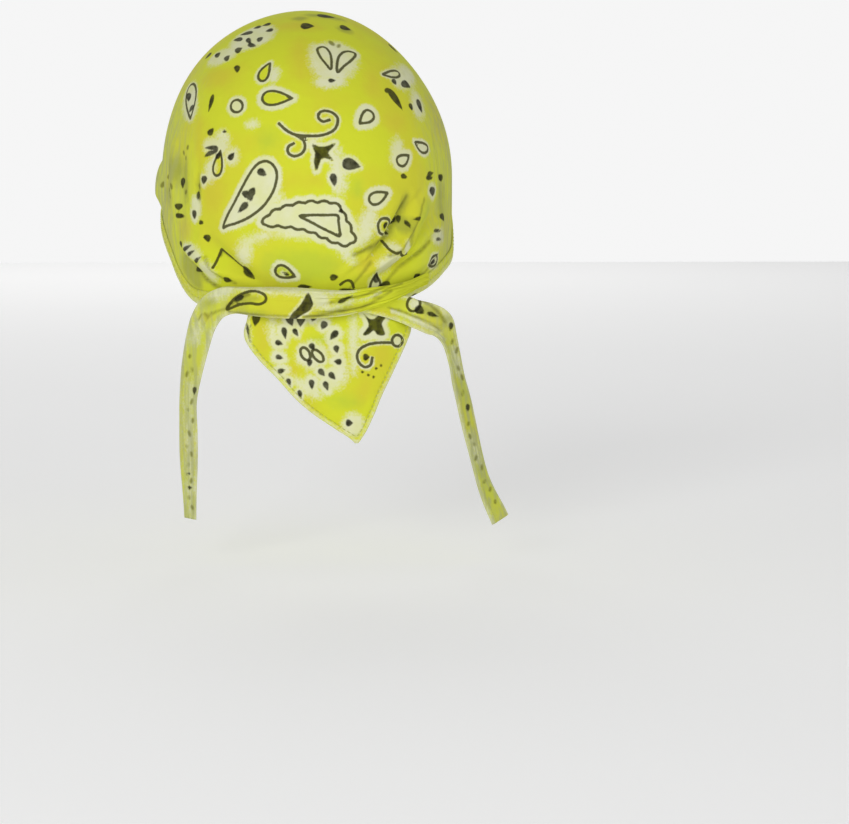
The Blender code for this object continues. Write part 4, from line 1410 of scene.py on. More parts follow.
def grid_faces(
    rows: int, columns: int, round_columns: bool, first: int = 0, round_rows: bool = False
) -> Points:
    """Quads of a grid whose points are stored row after row.

    Args:
        rows: How many rows.
        columns: How many points in a row.
        round_columns: Whether each row closes on itself.
        first: The first point's number.
        round_rows: Whether the last row joins the first.

    Returns:
        The quads' point numbers.
    """
    row = np.arange(rows if round_rows else rows - 1)[:, None]
    place = np.arange(columns if round_columns else columns - 1)[None]
    after, across = (row + 1) % rows, (place + 1) % columns
    here, below = row * columns, after * columns
    corners = (here + place, here + across, below + across, below + place)
    return first + np.stack(corners, axis=-1).reshape(-1, 4)


class Piece:
    """One dressed piece of the wrap."""

    def __init__(self, name: str, points: Points, faces: Iterable[Sequence[int]], flat: Points) -> None:
        """Makes the mesh, with every face turned outwards.

        Args:
            name: The piece's name.
            points: Its points.
            faces: Its faces.
            flat: Where each point lies on the flat cloth.
        """
        mesh = bpy.data.meshes.new(name)
        mesh.from_pydata(points.tolist(), [], [tuple(map(int, face)) for face in faces])
        mesh.update()
        self.thing = bpy.data.objects.new(name, mesh)
        bpy.context.scene.collection.objects.link(self.thing)
        layer = mesh.uv_layers.new(name="cloth")
        corner = np.empty(len(mesh.loops), np.int64)
        mesh.loops.foreach_get("vertex_index", corner)
        layer.data.foreach_set("uv", flat[corner].astype(np.float32).ravel())
        mesh.polygons.foreach_set("use_smooth", np.ones(len(mesh.polygons), bool))
        self.face_out()

    def face_out(self) -> None:
        """Turns every face of a closed piece outwards."""
        bpy.ops.object.select_all(action="DESELECT")
        bpy.context.view_layer.objects.active = self.thing
        self.thing.select_set(True)
        bpy.ops.object.mode_set(mode="EDIT")
        bpy.ops.mesh.select_all(action="SELECT")
        bpy.ops.mesh.normals_make_consistent(inside=False)
        bpy.ops.object.mode_set(mode="OBJECT")
        self.thing.select_set(False)

    def normals(self) -> Points:
        """The outward direction at each point.

        Returns:
            The directions, one row each.
        """
        found = np.empty(len(self.thing.data.vertices) * 3, np.float32)
        self.thing.data.vertices.foreach_get("normal", found)
        return found.reshape(-1, 3).astype(float)

    def wear(self, finish: Finish, **marks: Points) -> None:
        """Puts a finish on the piece, with the numbers that it reads at each point.

        Args:
            finish: The finish.
            marks: The numbers, by name.
        """
        for name, values in marks.items():
            layer = self.thing.data.attributes.new(name, "FLOAT", "POINT")
            layer.data.foreach_set("value", np.asarray(values, np.float32))
        self.thing.data.materials.append(finish)
        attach(self.thing, "root")

    def dress(self, node: str, finish: Finish, inking: Inking, reverse: Points, faded: Points) -> None:
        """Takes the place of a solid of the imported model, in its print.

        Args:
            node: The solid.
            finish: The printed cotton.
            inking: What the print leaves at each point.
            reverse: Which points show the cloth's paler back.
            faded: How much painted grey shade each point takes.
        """
        marks = {name: np.clip(values, -FAR, FAR) for name, values in inking.marks.items()}
        self.wear(finish, **marks, reverse=reverse, faded=faded)
        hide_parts(node)
        triangles = sum(len(face.vertices) - 2 for face in self.thing.data.polygons)
        LOG.info("%s: %d triangles", self.thing.name, triangles)


def read_line(run: Points, line: Points, at: Points) -> Points:
    """A line read straight between its points at distances along it."""
    return np.stack([np.interp(at, run, line[:, axis]) for axis in range(3)], axis=-1)


@dataclass(frozen=True)
class Stitching:
    """Straight stitches, each a low bead of thread that dips in at its ends."""

    pitch: float = 0.0031
    length: float = 0.0021
    radius: float = 0.00021
    sides: int = 6
    stops: tuple[float, ...] = (0.0, 0.2, 0.5, 0.8, 1.0)
    lift: tuple[float, ...] = (-0.8, 0.35, 0.75, 0.35, -0.8)
    girth: tuple[float, ...] = (0.5, 0.95, 1.0, 0.95, 0.5)

    def sew(self, name: str, line: Points, out: Points, thread: Finish) -> bpy.types.Object:
        """Sews along a line.

        Args:
            name: The piece's name.
            line: Points along the seam.
            out: The outward direction at each.
            thread: The finish.

        Returns:
            The stitches, one mesh.
        """
        run = run_along(line)
        starts = np.arange(self.pitch / 2, run[-1] - self.length, self.pitch)
        at = starts[:, None] + np.array(self.stops)[None] * self.length
        middle, up, ahead = read_line(run, line, at), unit(read_line(run, out, at)), self.length / 8
        along = unit(read_line(run, line, at + ahead) - read_line(run, line, at - ahead))
        side = unit(np.cross(along, up))
        angle = np.linspace(0.0, 2 * math.pi, self.sides, endpoint=False)
        ring = up[..., None, :] * np.sin(angle)[:, None] + side[..., None, :] * np.cos(angle)[:, None]
        lift, girth = (np.array(values) * self.radius for values in (self.lift, self.girth))
        points = (middle + up * lift[:, None])[..., None, :] + ring * girth[:, None, None]
        faces, size = [], len(self.stops) * self.sides
        for first in range(0, len(starts) * size, size):
            faces += [*grid_faces(len(self.stops), self.sides, True, first)]
            faces += [tuple(range(first + self.sides - 1, first - 1, -1))]
            faces += [tuple(range(first + size - self.sides, first + size))]
        piece = Piece(name, points.reshape(-1, 3), faces, np.zeros((points.size // 3, 2)))
        piece.wear(thread)
        LOG.info("%s: %d stitches", name, len(starts))
        return piece.thing


@dataclass
class Crown:
    """The domed cloth over the head, with the folds that the gathers pull into it."""

    form: HeadForm
    printer: Printer
    fine_step: float = 0.78
    coarse_step: float = 1.6
    fine_reach: float = 100.0
    rows: int = 168
    inner_every: int = 2
    thickness: float = 0.0009
    top_drop: float = 0.0002
    # Where the painted grey shade lies down the crown's sides.
    shade_from: float = 46.0
    shade_over: float = 32.0
    clears_from: float = 160.0
    clears_over: float = 40.0
    shade_below: float = 0.014
    shade_down: float = 0.05
    most_faded: float = 0.85
    flat_size: tuple[float, float] = (0.40, 0.30)
    flat_area: float = 0.088

    def bearings(self) -> Points:
        """The bearings of the columns, an even number, closer together at the back.

        Returns:
            The bearings, in degrees.
        """
        fine = 2 * round(self.fine_reach / self.fine_step)
        coarse = 2 * round((180 - self.fine_reach) / self.coarse_step)
        back = np.linspace(-self.fine_reach, self.fine_reach, fine, endpoint=False)
        front = np.linspace(self.fine_reach, 360 - self.fine_reach, coarse, endpoint=False)
        return np.concatenate([back, front])

    def build(self, finish: Finish) -> None:
        """Makes the crown in its printed cotton.

        Args:
            finish: The printed cotton.
        """
        bearing, every = self.bearings(), self.inner_every
        total = self.form.path_length(self.form.rim(bearing))
        share = (np.arange(self.rows) + 1) / self.rows
        drop = self.form.drop_at(total[None] * share[:, None])
        turn = np.broadcast_to(bearing[None], drop.shape)
        wall = self.form.folded(turn, drop)
        lining = wall - self.form.frame_at(turn, drop)[2] * self.thickness
        lining_rows = np.arange(self.rows - 1, 0, -every)[::-1]
        kept = np.ix_(lining_rows, np.arange(0, len(bearing), every))
        top = np.array([[0.0, 0.0, self.form.cloth], [0.0, 0.0, self.form.cloth - self.thickness]])
        points = np.concatenate([wall.reshape(-1, 3), lining[kept].reshape(-1, 3), top])
        every_turn = np.concatenate([turn.ravel(), turn[kept].ravel(), np.zeros(2)])
        every_drop = np.concatenate([drop.ravel(), drop[kept].ravel(), np.full(2, self.top_drop)])
        path, angle = self.form.path_length(every_drop), np.radians(every_turn)
        flat = np.stack([path * np.sin(angle), path * np.cos(angle)], axis=-1)
        piece = Piece("crown_cloth", points, self.faces(len(bearing), len(lining_rows)), flat)
        inking = Inking(len(points))
        self.printer.on_crown(inking, every_turn, every_drop, CROWN_CHART)
        reverse = np.repeat([0.0, 1.0, 0.0, 1.0], [drop.size, drop[kept].size, 1, 1])
        piece.dress("crown", finish, inking, reverse, self.faded(every_turn, every_drop))

    def faded(self, turn: Points, drop: Points) -> Points:
        """How much painted grey shade the cloth takes: most at its sides, and not at its top.

        Args:
            turn: Degrees from the back.
            drop: Metres below the top.

        Returns:
            The painted grey shade at each place, from 0 to 1.
        """
        sideways = np.abs(from_back(turn))
        fading = np.clip((sideways - self.shade_from) / self.shade_over, 0.0, 1.0)
        clearing = np.clip((self.clears_from - sideways) / self.clears_over, 0.0, 1.0)
        below = np.clip((drop - self.shade_below) / self.shade_down, 0.0, 1.0)
        return fading * clearing * self.most_faded * below

    def faces(self, columns: int, lining_rows: int) -> list[Sequence[int]]:
        """The faces of the outer wall, the coarser inner wall and the strip that joins them at the edge.

        Args:
            columns: Points round the outer wall.
            lining_rows: Rows of the inner wall.

        Returns:
            The faces.
        """
        every = self.inner_every
        inner_columns = columns // every
        first = self.rows * columns
        top = first + lining_rows * inner_columns
        found = [*grid_faces(self.rows, columns, True)]
        found += [*grid_faces(lining_rows, inner_columns, True, first)[:, ::-1]]
        found += [(top, (i + 1) % columns, i) for i in range(columns)]
        found += [(top + 1, first + i, first + (i + 1) % inner_columns) for i in range(inner_columns)]
        edge, lining_edge = (self.rows - 1) * columns, first + (lining_rows - 1) * inner_columns
        for i in range(inner_columns):
            here, after = lining_edge + i, lining_edge + (i + 1) % inner_columns
            start, middle, end = (edge + (every * i + k) % columns for k in range(3))
            found += [(start, middle, here), (middle, after, here), (middle, end, after)]
        return found


@dataclass
class EdgeBand:
    """The folded, stitched hem round the crown's edge."""

    form: HeadForm
    printer: Printer
    crown: Crown
    height: float = 0.008
    cloth: float = 0.0009
    clear: float = 0.00015
    outer_shares: tuple[float, ...] = (0.86, 0.72, 0.60, 0.50, 0.42, 0.35)
    inner_shares: tuple[float, ...] = (0.4, 0.7, 1.0)
    lying_shares: tuple[float, ...] = (1.0, 0.5, 0.12)
    roll: float = 0.0013
    roll_steps: int = 11
    roll_swell: float = 0.16
    roll_width: float = 1.12
    roll_tuck: float = 0.0006
    roll_height: float = 0.0026
    roll_fade: float = 0.001
    pucker: float = 0.00010
    pucker_rates: tuple[float, float] = (7.3, 2.9)
    pale_slope: float = 0.35
    pale_level: float = 0.25
    # Painted grey shade, evenly over the whole band.
    faded: float = 0.25
    stitch_height: float = 0.0036
    stitches_read: int = 2881
    flat_size: tuple[float, float] = (0.57, 0.017)

    def section(self) -> Points:
        """The band's closed section, as distance below the edge and lift off the outer face.

        Returns:
            The section's points, one row each.
        """
        under = -self.crown.thickness - self.clear
        outer, inner = self.clear + self.cloth, under - self.cloth
        rows = [(-self.height, self.clear + self.cloth * 0.5)]
        rows += [(-share * self.height, outer) for share in self.outer_shares]
        middle, reach = (outer + inner) / 2, (outer - inner) / 2
        for i in range(self.roll_steps):
            angle = math.pi * (i / (self.roll_steps - 1))
            below = self.roll * math.sin(angle) * (1 + self.roll_swell * math.sin(angle)) - self.roll_tuck
            rows.append((below, middle + reach * self.roll_width * math.cos(angle)))
        rows += [(-share * self.height, inner) for share in self.inner_shares]
        rows += [(-share * self.height, under) for share in self.lying_shares]
        rows += [(0.0, under + self.clear * 0.6), (0.0, self.clear * 0.4)]
        rows += [(-share * self.height, self.clear) for share in reversed(self.lying_shares)]
        return np.array(rows)

    def build(self, finish: Finish, thread: Finish) -> None:
        """Makes the band and its stitches.

        Args:
            finish: Its printed cotton.
            thread: The stitches' finish.
        """
        bearing, section = self.crown.bearings(), self.section()
        drop = self.form.rim(bearing)[:, None] + section[None, :, 0]
        turn = np.broadcast_to(bearing[:, None], drop.shape)
        wrapped = from_back(turn)
        fast, slow = self.pucker_rates
        puckers = self.pucker * np.sin(wrapped * fast) * np.sin(wrapped * slow + 1.0)
        points = self.form.folded(turn, drop, section[None, :, 1], puckers).reshape(-1, 3)
        faces = grid_faces(len(bearing), len(section), True, round_rows=True)
        flat = np.stack([np.radians(turn) * self.form.half_breadth, drop], axis=-1).reshape(-1, 2)
        piece = Piece("edge_band_cloth", points, faces, flat)
        inking = Inking(len(points))
        self.printer.on_crown(inking, turn.ravel(), drop.ravel(), CROWN_CHART)
        # Paler along the band's rolled top edge.
        rolled = np.clip((section[:, 0] + self.roll_height) / self.roll_fade, -1.5, 1.5)
        paling = np.broadcast_to(self.pale_level - self.pale_slope * rolled[None], drop.shape)
        inking.marks["pale"] = np.minimum(inking.marks["pale"], paling.ravel())
        reverse = np.zeros(drop.shape)
        reverse[:, 1 + len(self.outer_shares) + self.roll_steps :] = 1.0
        stitches = self.stitches(thread)
        piece.dress("edge_band", finish, inking, reverse.ravel(), np.full(len(points), self.faded))

    def stitches(self, thread: Finish) -> bpy.types.Object:
        """The row of stitches that holds the folded edge, one mesh.

        Args:
            thread: Their finish.

        Returns:
            The stitches.
        """
        fine = np.linspace(-180.0, 180.0, self.stitches_read)
        drop = self.form.rim(fine) - self.stitch_height
        line = self.form.folded(fine, drop, self.clear, self.cloth)
        return Stitching().sew("edge_band_stitches", line, self.form.frame_at(fine, drop)[2], thread)


class FlapRow(NamedTuple):
    """The flap's two sides at a drop, as shares of its width."""

    drop: float
    left: float
    right: float


class Wave(NamedTuple):
    """A ripple in cloth: how close, where it starts and how high."""

    rate: float
    start: float
    size: float


FLAP_ROWS = each(
    FlapRow,
    (0, 0.345, -0.585), (0.08, 0.355, -0.61), (0.18, 0.375, -0.612), (0.26, 0.36, -0.59),
    (0.38, 0.29, -0.545), (0.52, 0.18, -0.49), (0.66, 0.08, -0.435), (0.78, -0.03, -0.395),
    (0.9, -0.17, -0.35), (0.97, -0.255, -0.315), (1, -0.277, -0.297),
)


@dataclass
class BackFlap:
    """The pointed cloth below the knot, hemmed down both sides."""

    form: HeadForm
    printer: Printer
    width: float = 0.092
    length: float = 0.075
    lean: float = 0.07
    hug: float = 0.007
    flattens: float = 0.55
    hem_lift: float = 0.0018
    cloth: float = 0.0009
    hem: float = 0.0030
    hem_rise: float = 0.0005
    hem_slope: float = 0.0005
    groove: float = 0.0002
    groove_width: float = 0.0004
    edge_round: float = 0.0006
    ripple: float = 0.0011
    ripples: tuple[Wave, ...] = each(Wave, (17.0, 0.6, 0.6), (31.0, 2.0, 0.25))
    ripples_to: float = 0.6
    paler_from: float = 0.6
    paler_over: float = 0.001
    paler_slope: float = 0.6
    paler_level: float = 0.45
    columns: int = 110
    rows: int = 96
    stitching: Stitching = Stitching(pitch=0.0030)
    stitched: tuple[float, float] = (0.10, 0.94)
    stitch_inset: float = 0.86
    stitches_part: float = 0.001
    stitches_read: int = 160
    flat_size: tuple[float, float] = (0.092, 0.083)

    def at_edge(self, across: Points, drop: float) -> Points:
        """Points on the band's outside at distances across the back.

        Args:
            across: Metres towards the wearer's left.
            drop: Metres below the top.

        Returns:
            The points.
        """
        bearing = np.zeros_like(across)
        for _ in range(4):
            girth = 1 - self.form.round_rim("tuck", bearing)
            bearing = np.degrees(np.arcsin(np.clip(across / (self.form.half_breadth * girth), -1.0, 1.0)))
        drops = np.full_like(bearing, drop)
        outward = self.form.frame_at(bearing, drops)[2]
        return self.form.bare(bearing, drops) + outward * self.hem_lift

    def sides(self, share: Points) -> tuple[Points, Points]:
        """The flap's left and right side at drops given as shares of its length.

        Args:
            share: The drops.

        Returns:
            Each side's distance across the back.
        """
        keys = column(FLAP_ROWS, "drop")
        left, right = (smooth_through(keys, column(FLAP_ROWS, side), share) for side in ("left", "right"))
        return left * self.width, right * self.width

    def surface(self, share: Points, across: Points) -> Points:
        """Points of the flap's inner face.

        Args:
            share: Drop below the crown's edge as a share of the length, negative on the band.
            across: Distance towards the wearer's left.

        Returns:
            The points.
        """
        edge = float(self.form.rim(np.array([0.0]))[0])
        high_edge = edge - self.form.hem_height
        middle, above = self.at_edge(np.zeros(1), edge)[0], self.at_edge(np.zeros(1), high_edge)[0]
        slope = (middle[1] - above[1]) / self.form.hem_height
        start, high = self.at_edge(across, edge), self.at_edge(across, high_edge)
        below = np.maximum(share, 0.0) * self.length
        sag = (middle[1] - start[..., 1]) * (1 - self.flattens * np.maximum(share, 0.0))
        press = self.hug * (1 - np.exp(-below / self.hug))
        back = middle[1] - sag + self.lean * below + slope * press
        wave = sum(np.sin(across / self.width * row.rate + row.start) * row.size for row in self.ripples)
        back = back + self.ripple * wave * np.clip(share, 0.0, self.ripples_to)
        hung = np.stack([start[..., 0], back, start[..., 2] - below], axis=-1)
        upper = np.clip(-share * self.length / self.form.hem_height, 0.0, 1.0)[..., None]
        return np.where(share[..., None] < 0, start * (1 - upper) + high * upper, hung)

    def build(self, finish: Finish, thread: Finish) -> None:
        """Makes the flap and its stitches.

        Args:
            finish: Its printed cotton.
            thread: The stitches' finish.
        """
        top = -self.form.hem_height / self.length
        share = np.linspace(top, 1.0, self.rows)
        left, right = self.sides(np.maximum(share, 0.0))
        across = left[:, None] + (right - left)[:, None] * np.linspace(0.0, 1.0, self.columns)[None]
        depth = np.broadcast_to(share[:, None], across.shape)
        inner = self.surface(depth, across)
        outward = unit(np.cross(np.gradient(inner, axis=1), np.gradient(inner, axis=0)))
        outward *= np.sign(outward[..., 1:2])
        spread = np.stack([across, depth * self.length], axis=-1)
        free_side = np.concatenate([spread[:, 0], spread[::-1, -1]])
        margin = line_distance(spread.reshape(-1, 2), free_side, False)[0].reshape(across.shape)
        on_hem = np.clip((self.hem - margin) / self.hem_slope, 0.0, 1.0)
        groove = np.exp(-(((margin - self.hem) / self.groove_width) ** 2))
        thick = self.cloth + self.hem_rise * on_hem - self.groove * groove
        thick = thick * np.clip(margin / self.edge_round, 0.25, 1.0) ** 0.5
        outer = inner + outward * thick[..., None]
        points = np.concatenate([outer.reshape(-1, 3), inner.reshape(-1, 3)])
        piece = Piece("back_flap_cloth", points, self.faces(), np.tile(spread.reshape(-1, 2), (2, 1)))
        inking = Inking(len(points))
        self.printer.on_flat(inking, points, np.ones(len(points), bool), FLAP_CHART)
        # Paler along the hems of the free sides.
        paling = np.clip((margin - self.paler_from * self.hem) / self.paler_over, -1.0, 2.0)
        paling = paling.ravel() * self.paler_slope + self.paler_level
        inking.marks["pale"] = np.minimum(inking.marks["pale"], np.tile(paling, 2))
        stitches = self.stitches(thread)
        piece.dress("back_flap", finish, inking, np.repeat([0.0, 1.0], across.size), np.zeros(len(points)))

    def faces(self) -> list[Sequence[int]]:
        """The outer and inner faces and the strip round their edge.

        Returns:
            The faces.
        """
        rows, columns = self.rows, self.columns
        found = [*grid_faces(rows, columns, False)]
        found += [*grid_faces(rows, columns, False, rows * columns)[:, ::-1]]
        border = [*range(columns), *range(2 * columns - 1, rows * columns, columns)]
        border += [*range(rows * columns - 2, (rows - 1) * columns - 1, -1)]
        border += [*range((rows - 2) * columns, 0, -columns)]
        for here, after in zip(border, border[1:] + border[:1]):
            found.append((here, here + rows * columns, after + rows * columns, after))
        return found

    def stitches(self, thread: Finish) -> bpy.types.Object:
        """The rows of stitches down both hems, one mesh.

        Args:
            thread: Their finish.

        Returns:
            The stitches.
        """
        share = np.linspace(*self.stitched, self.stitches_read)
        inset = self.hem * self.stitch_inset
        runs = []
        for side, way in zip(self.sides(share), (-1.0, 1.0)):
            runs.append(side + way * inset * np.sqrt(1 + np.gradient(side, share * self.length) ** 2))
        meet = np.nonzero(runs[0] - runs[1] < self.stitches_part)[0]
        last = meet[0] if len(meet) else len(share)
        left, right = (self.surface(share[:last], run[:last]) for run in runs)
        line = np.concatenate([left, right[::-1]])
        out = np.tile([0.0, 1.0, 0.0], (len(line), 1))
        line = line + out * (self.cloth + self.hem_rise)
        return self.stitching.sew("back_flap_stitches", line, out, thread)


class LayRow(NamedTuple):
    """A tie where it lies on the crown."""

    bearing: float
    drop: float
    cloths: float
    ties: float
    width: float
    body: float


class HangRow(NamedTuple):
    """A tie where it hangs free, measured from where it leaves the crown."""

    across: float
    drop: float
    settle: float
    turn: float
    width: float


class PleatRow(NamedTuple):
    """How deep the lengthwise pleats are at a place along a tie, and how its edges curl."""

    place: float
    depth: float
    curl: float


OVER_LAY = each(
    LayRow,
    (-54, 0.914, 0.65, 0, 0.42, 0), (-47, 0.926, 1, 0.1, 0.42, 0), (-40, 0.939, 1.9, 0.7, 0.48, 0),
    (-32, 0.956, 2.2, 1.2, 0.62, 0.1), (-24, 0.97, 2.1, 1.1, 0.76, 0.2), (-16, 0.982, 2, 1, 0.88, 0.4),
    (-7, 0.984, 2, 1, 0.98, 0.7), (3, 0.982, 2, 1, 1.06, 1), (13, 0.98, 2, 1, 1.06, 1),
    (22, 0.978, 2, 1, 1, 0.7), (30, 0.976, 2, 1.1, 0.96, 0.3),
)
UNDER_LAY = each(
    LayRow,
    (40, 0.966, 0.65, 0, 0.42, 0), (34, 0.968, 1.4, 0, 0.5, 0), (26, 0.97, 1.9, 0, 0.58, 0),
    (12, 0.972, 1.9, 0, 0.62, 0), (-6, 0.974, 1.9, 0, 0.66, 0), (-20, 0.978, 1.9, 0, 0.74, 0),
    (-31, 0.99, 2.1, 0, 0.84, 0), (-40, 1.009, 2.3, 0, 0.92, 0),
)
OVER_HANG = each(
    HangRow,
    (0.1, 0.01, 0.06, 20, 0.97), (0.192, 0.041, 0.28, 24, 1), (0.27, 0.104, 0.52, 30, 1),
    (0.323, 0.19, 0.75, 35, 1), (0.382, 0.325, 0.92, 42, 1), (0.418, 0.46, 1, 52, 1),
    (0.418, 0.595, 1, 54, 1), (0.415, 0.775, 0.98, 56, 1), (0.405, 1, 0.95, 62, 0.92),
)
UNDER_HANG = each(
    HangRow,
    (-0.105, 0.022, 0.02, -24, 0.95), (-0.244, 0.046, 0.14, -20, 1.04), (-0.35, 0.075, 0.26, -26, 1),
    (-0.42, 0.14, 0.34, -50, 0.9), (-0.478, 0.242, 0.36, -60, 0.96), (-0.52, 0.332, 0.36, -62, 1),
    (-0.57, 0.422, 0.36, -62, 1), (-0.655, 0.602, 0.36, -62, 1), (-0.765, 0.805, 0.36, -60, 1),
    (-0.915, 0.97, 0.36, -52, 0.92),
)
OVER_PLEATS = each(
    PleatRow,
    (0, 0.0014, 0), (0.15, 0.0020, 0), (0.26, 0.0022, 0), (0.35, 0.0008, 0), (0.50, 0, 0), (1, 0, 0),
)
UNDER_PLEATS = each(
    PleatRow,
    (0, 0.0003, 0), (0.35, 0.0004, 0), (0.47, 0.0005, 1.5), (0.60, 0.0004, 1.3), (0.72, 0, 0.2), (1, 0, 0),
)


@dataclass
class Tie:
    """A cotton strap folded lengthwise, gathered at its root and flat where it hangs."""

    node: str
    form: HeadForm
    printer: Printer
    lay: tuple[LayRow, ...]
    hang: tuple[HangRow, ...]
    pleats: tuple[PleatRow, ...]
    chart: Chart
    flat_size: tuple[float, float] = (0.0175, 0.27)
    width: float = 0.0165
    drop: float = 0.1237
    spread: float = 0.061
    settle: float = 0.016
    knot: float = 0.0085
    cloth: float = 0.0016
    gap: float = 0.0005
    band: float = 0.0012
    around: int = 64
    step: float = 0.0011
    roundness: float = 0.55
    pleat_count: float = 3.0
    pleat_drift: float = 2.2
    pleat_drifts: float = 9.0
    pleat_bluntness: float = 0.7
    pleat_middle: float = 0.6
    seam: float = 0.00035
    seam_from: float = 0.62
    curl: float = 0.001
    flutter: float = 0.0004
    flutter_step: float = 0.011
    flat_below: float = 1.6
    pale_edge: float = 0.84
    pale_slope: float = 4.0
    palest: float = -0.5
    hemmed_from: float = 0.22
    hem_fade: float = 0.05
    shade_from: float = 0.42
    shade_over: float = 0.15
    most_faded: float = 0.75

    def stations(self) -> tuple[Points, Points, Points, Points]:
        """The tie's given stations.

        Returns:
            Middles, faces, widths and thicknesses.
        """
        middles, faces, bodies = [], [], []
        for row in self.lay:
            body = max(row.body * self.knot, self.cloth)
            lift = self.gap + row.cloths * (self.band + self.gap)
            lift = lift + row.ties * (self.cloth + self.gap) + body / 2
            bearing, fall = np.array([row.bearing]), np.array([row.drop * self.form.rim_drop])
            out = self.form.frame_at(bearing, fall)[2][0]
            level = out * np.array([1.0, 1.0, 0.0])
            middles.append(self.form.bare(bearing, fall)[0] + level * (lift / (level @ level)))
            faces.append(out)
            bodies.append(body)
        leaving = middles[-1]
        for row in self.hang:
            turn = math.radians(row.turn)
            offset = (row.across * self.spread, -row.settle * self.settle, -row.drop * self.drop)
            middles.append(leaving + np.array(offset))
            faces.append(np.array([math.sin(turn), math.cos(turn), 0.0]))
            bodies.append(self.cloth)
        widths = column(self.lay + self.hang, "width") * self.width
        return np.array(middles), np.array(faces), widths, np.array(bodies)

    def path(self) -> tuple[Points, Points, Points, Points, Points]:
        """Close stations along the tie.

        Returns:
            Distances along, middles, faces, widths and thicknesses.
        """
        middles, faces, widths, bodies = self.stations()
        keys = np.arange(len(middles), dtype=float)
        at = np.linspace(0.0, keys[-1], 12 * len(keys))
        run = run_along(smooth_line(keys, middles, at))
        even = np.interp(np.linspace(0.0, run[-1], round(run[-1] / self.step)), run, at)
        middle = smooth_line(keys, middles, even)
        face = unit(smooth_line(keys, faces, even))
        body = np.maximum(smooth_through(keys, bodies, even), self.cloth)
        return run_along(middle), middle, face, smooth_through(keys, widths, even), body

    def build(self, finish: Finish) -> None:
        """Makes the tie in its printed cotton.

        Args:
            finish: The printed cotton.
        """
        run, middle, face, width, body = self.path()
        along = unit(np.gradient(middle, axis=0))
        face = unit(face - along * (along * face).sum(axis=1, keepdims=True))
        across = np.cross(along, face)
        angle = 2 * math.pi * (np.arange(self.around) + 0.5) / self.around
        ways = (np.cos(angle), np.sin(angle))
        wide, deep = (np.copysign(np.abs(way) ** self.roundness, way) for way in ways)
        share = run / run[-1]
        depth, curl = (
            smooth_through(column(self.pleats, "place"), column(self.pleats, name), share)
            for name in ("depth", "curl")
        )
        drift = self.pleat_drift * np.sin(share * self.pleat_drifts)
        phase = wide[None] * math.pi * self.pleat_count + drift[:, None]
        front = np.clip(deep, 0.0, 1.0)[None]
        pleat = depth[:, None] * (np.abs(np.sin(phase)) ** self.pleat_bluntness - self.pleat_middle) * front
        lies_flat = (body < self.flat_below * self.cloth)[:, None]
        seam = self.seam * (wide[None] > self.seam_from) * front * lies_flat
        lift = deep[None] * body[:, None] / 2 + pleat + seam + curl[:, None] * wide[None] ** 2 * self.curl
        lift = lift + self.flutter * np.sin(run / self.flutter_step)[:, None] * wide[None] * lies_flat
        off = wide[None] * width[:, None] / 2
        points = middle[:, None, :] + across[:, None, :] * off[..., None] + face[:, None, :] * lift[..., None]
        points = points.reshape(-1, 3)
        count = len(run)
        faces = [*grid_faces(count, self.around, True)]
        faces += [tuple(range(self.around - 1, -1, -1))]
        faces += [tuple(range((count - 1) * self.around, count * self.around))]
        flat = np.stack([np.broadcast_to(run[:, None], lift.shape), off], axis=-1)
        piece = Piece(f"{self.node}_cloth", points, faces, flat.reshape(-1, 2))
        inking = Inking(len(points))
        self.printer.on_flat(inking, points, piece.normals()[:, 1] > 0.0, self.chart)
        along_share = np.repeat(share, self.around)
        edge = np.tile((self.pale_edge - np.abs(wide)) * self.pale_slope, count)
        edge += self.pale_slope * np.clip((self.hemmed_from - along_share) / self.hem_fade, 0.0, 1.0)
        inking.marks["pale"] = np.minimum(inking.marks["pale"], np.maximum(edge, self.palest))
        # Painted grey shade down the hanging part of the tie.
        faded = np.clip((along_share - self.shade_from) / self.shade_over, 0.0, 1.0) * self.most_faded
        piece.dress(self.node, finish, inking, np.zeros(len(points)), faded)
        LOG.info("%s: %.3f m long", self.node, run[-1])


class Lamp(NamedTuple):
    """A soft square light."""

    name: str
    place: Place
    size: float
    power: float


LAMPS = each(
    Lamp,
    ("key", (1.3, 3.3, 0.9), 1.4, 56.0),
    ("fill", (-2.2, 3.0, 0.2), 2.0, 36.0),
    ("front", (0.4, -3.4, 1.6), 2.4, 26.0),
)


def add_to_scene(name: str, data: bpy.types.ID, place: Place, looks_at: Place) -> bpy.types.Object:
    """Puts a lamp or a camera in the scene.

    Args:
        name: Its name.
        data: The lamp or the camera.
        place: Where it stands.
        looks_at: What it faces.

    Returns:
        The object.
    """
    thing = bpy.data.objects.new(name, data)
    bpy.context.scene.collection.objects.link(thing)
    thing.location = place
    thing.rotation_euler = (Vector(looks_at) - Vector(place)).to_track_quat("-Z", "Y").to_euler()
    return thing


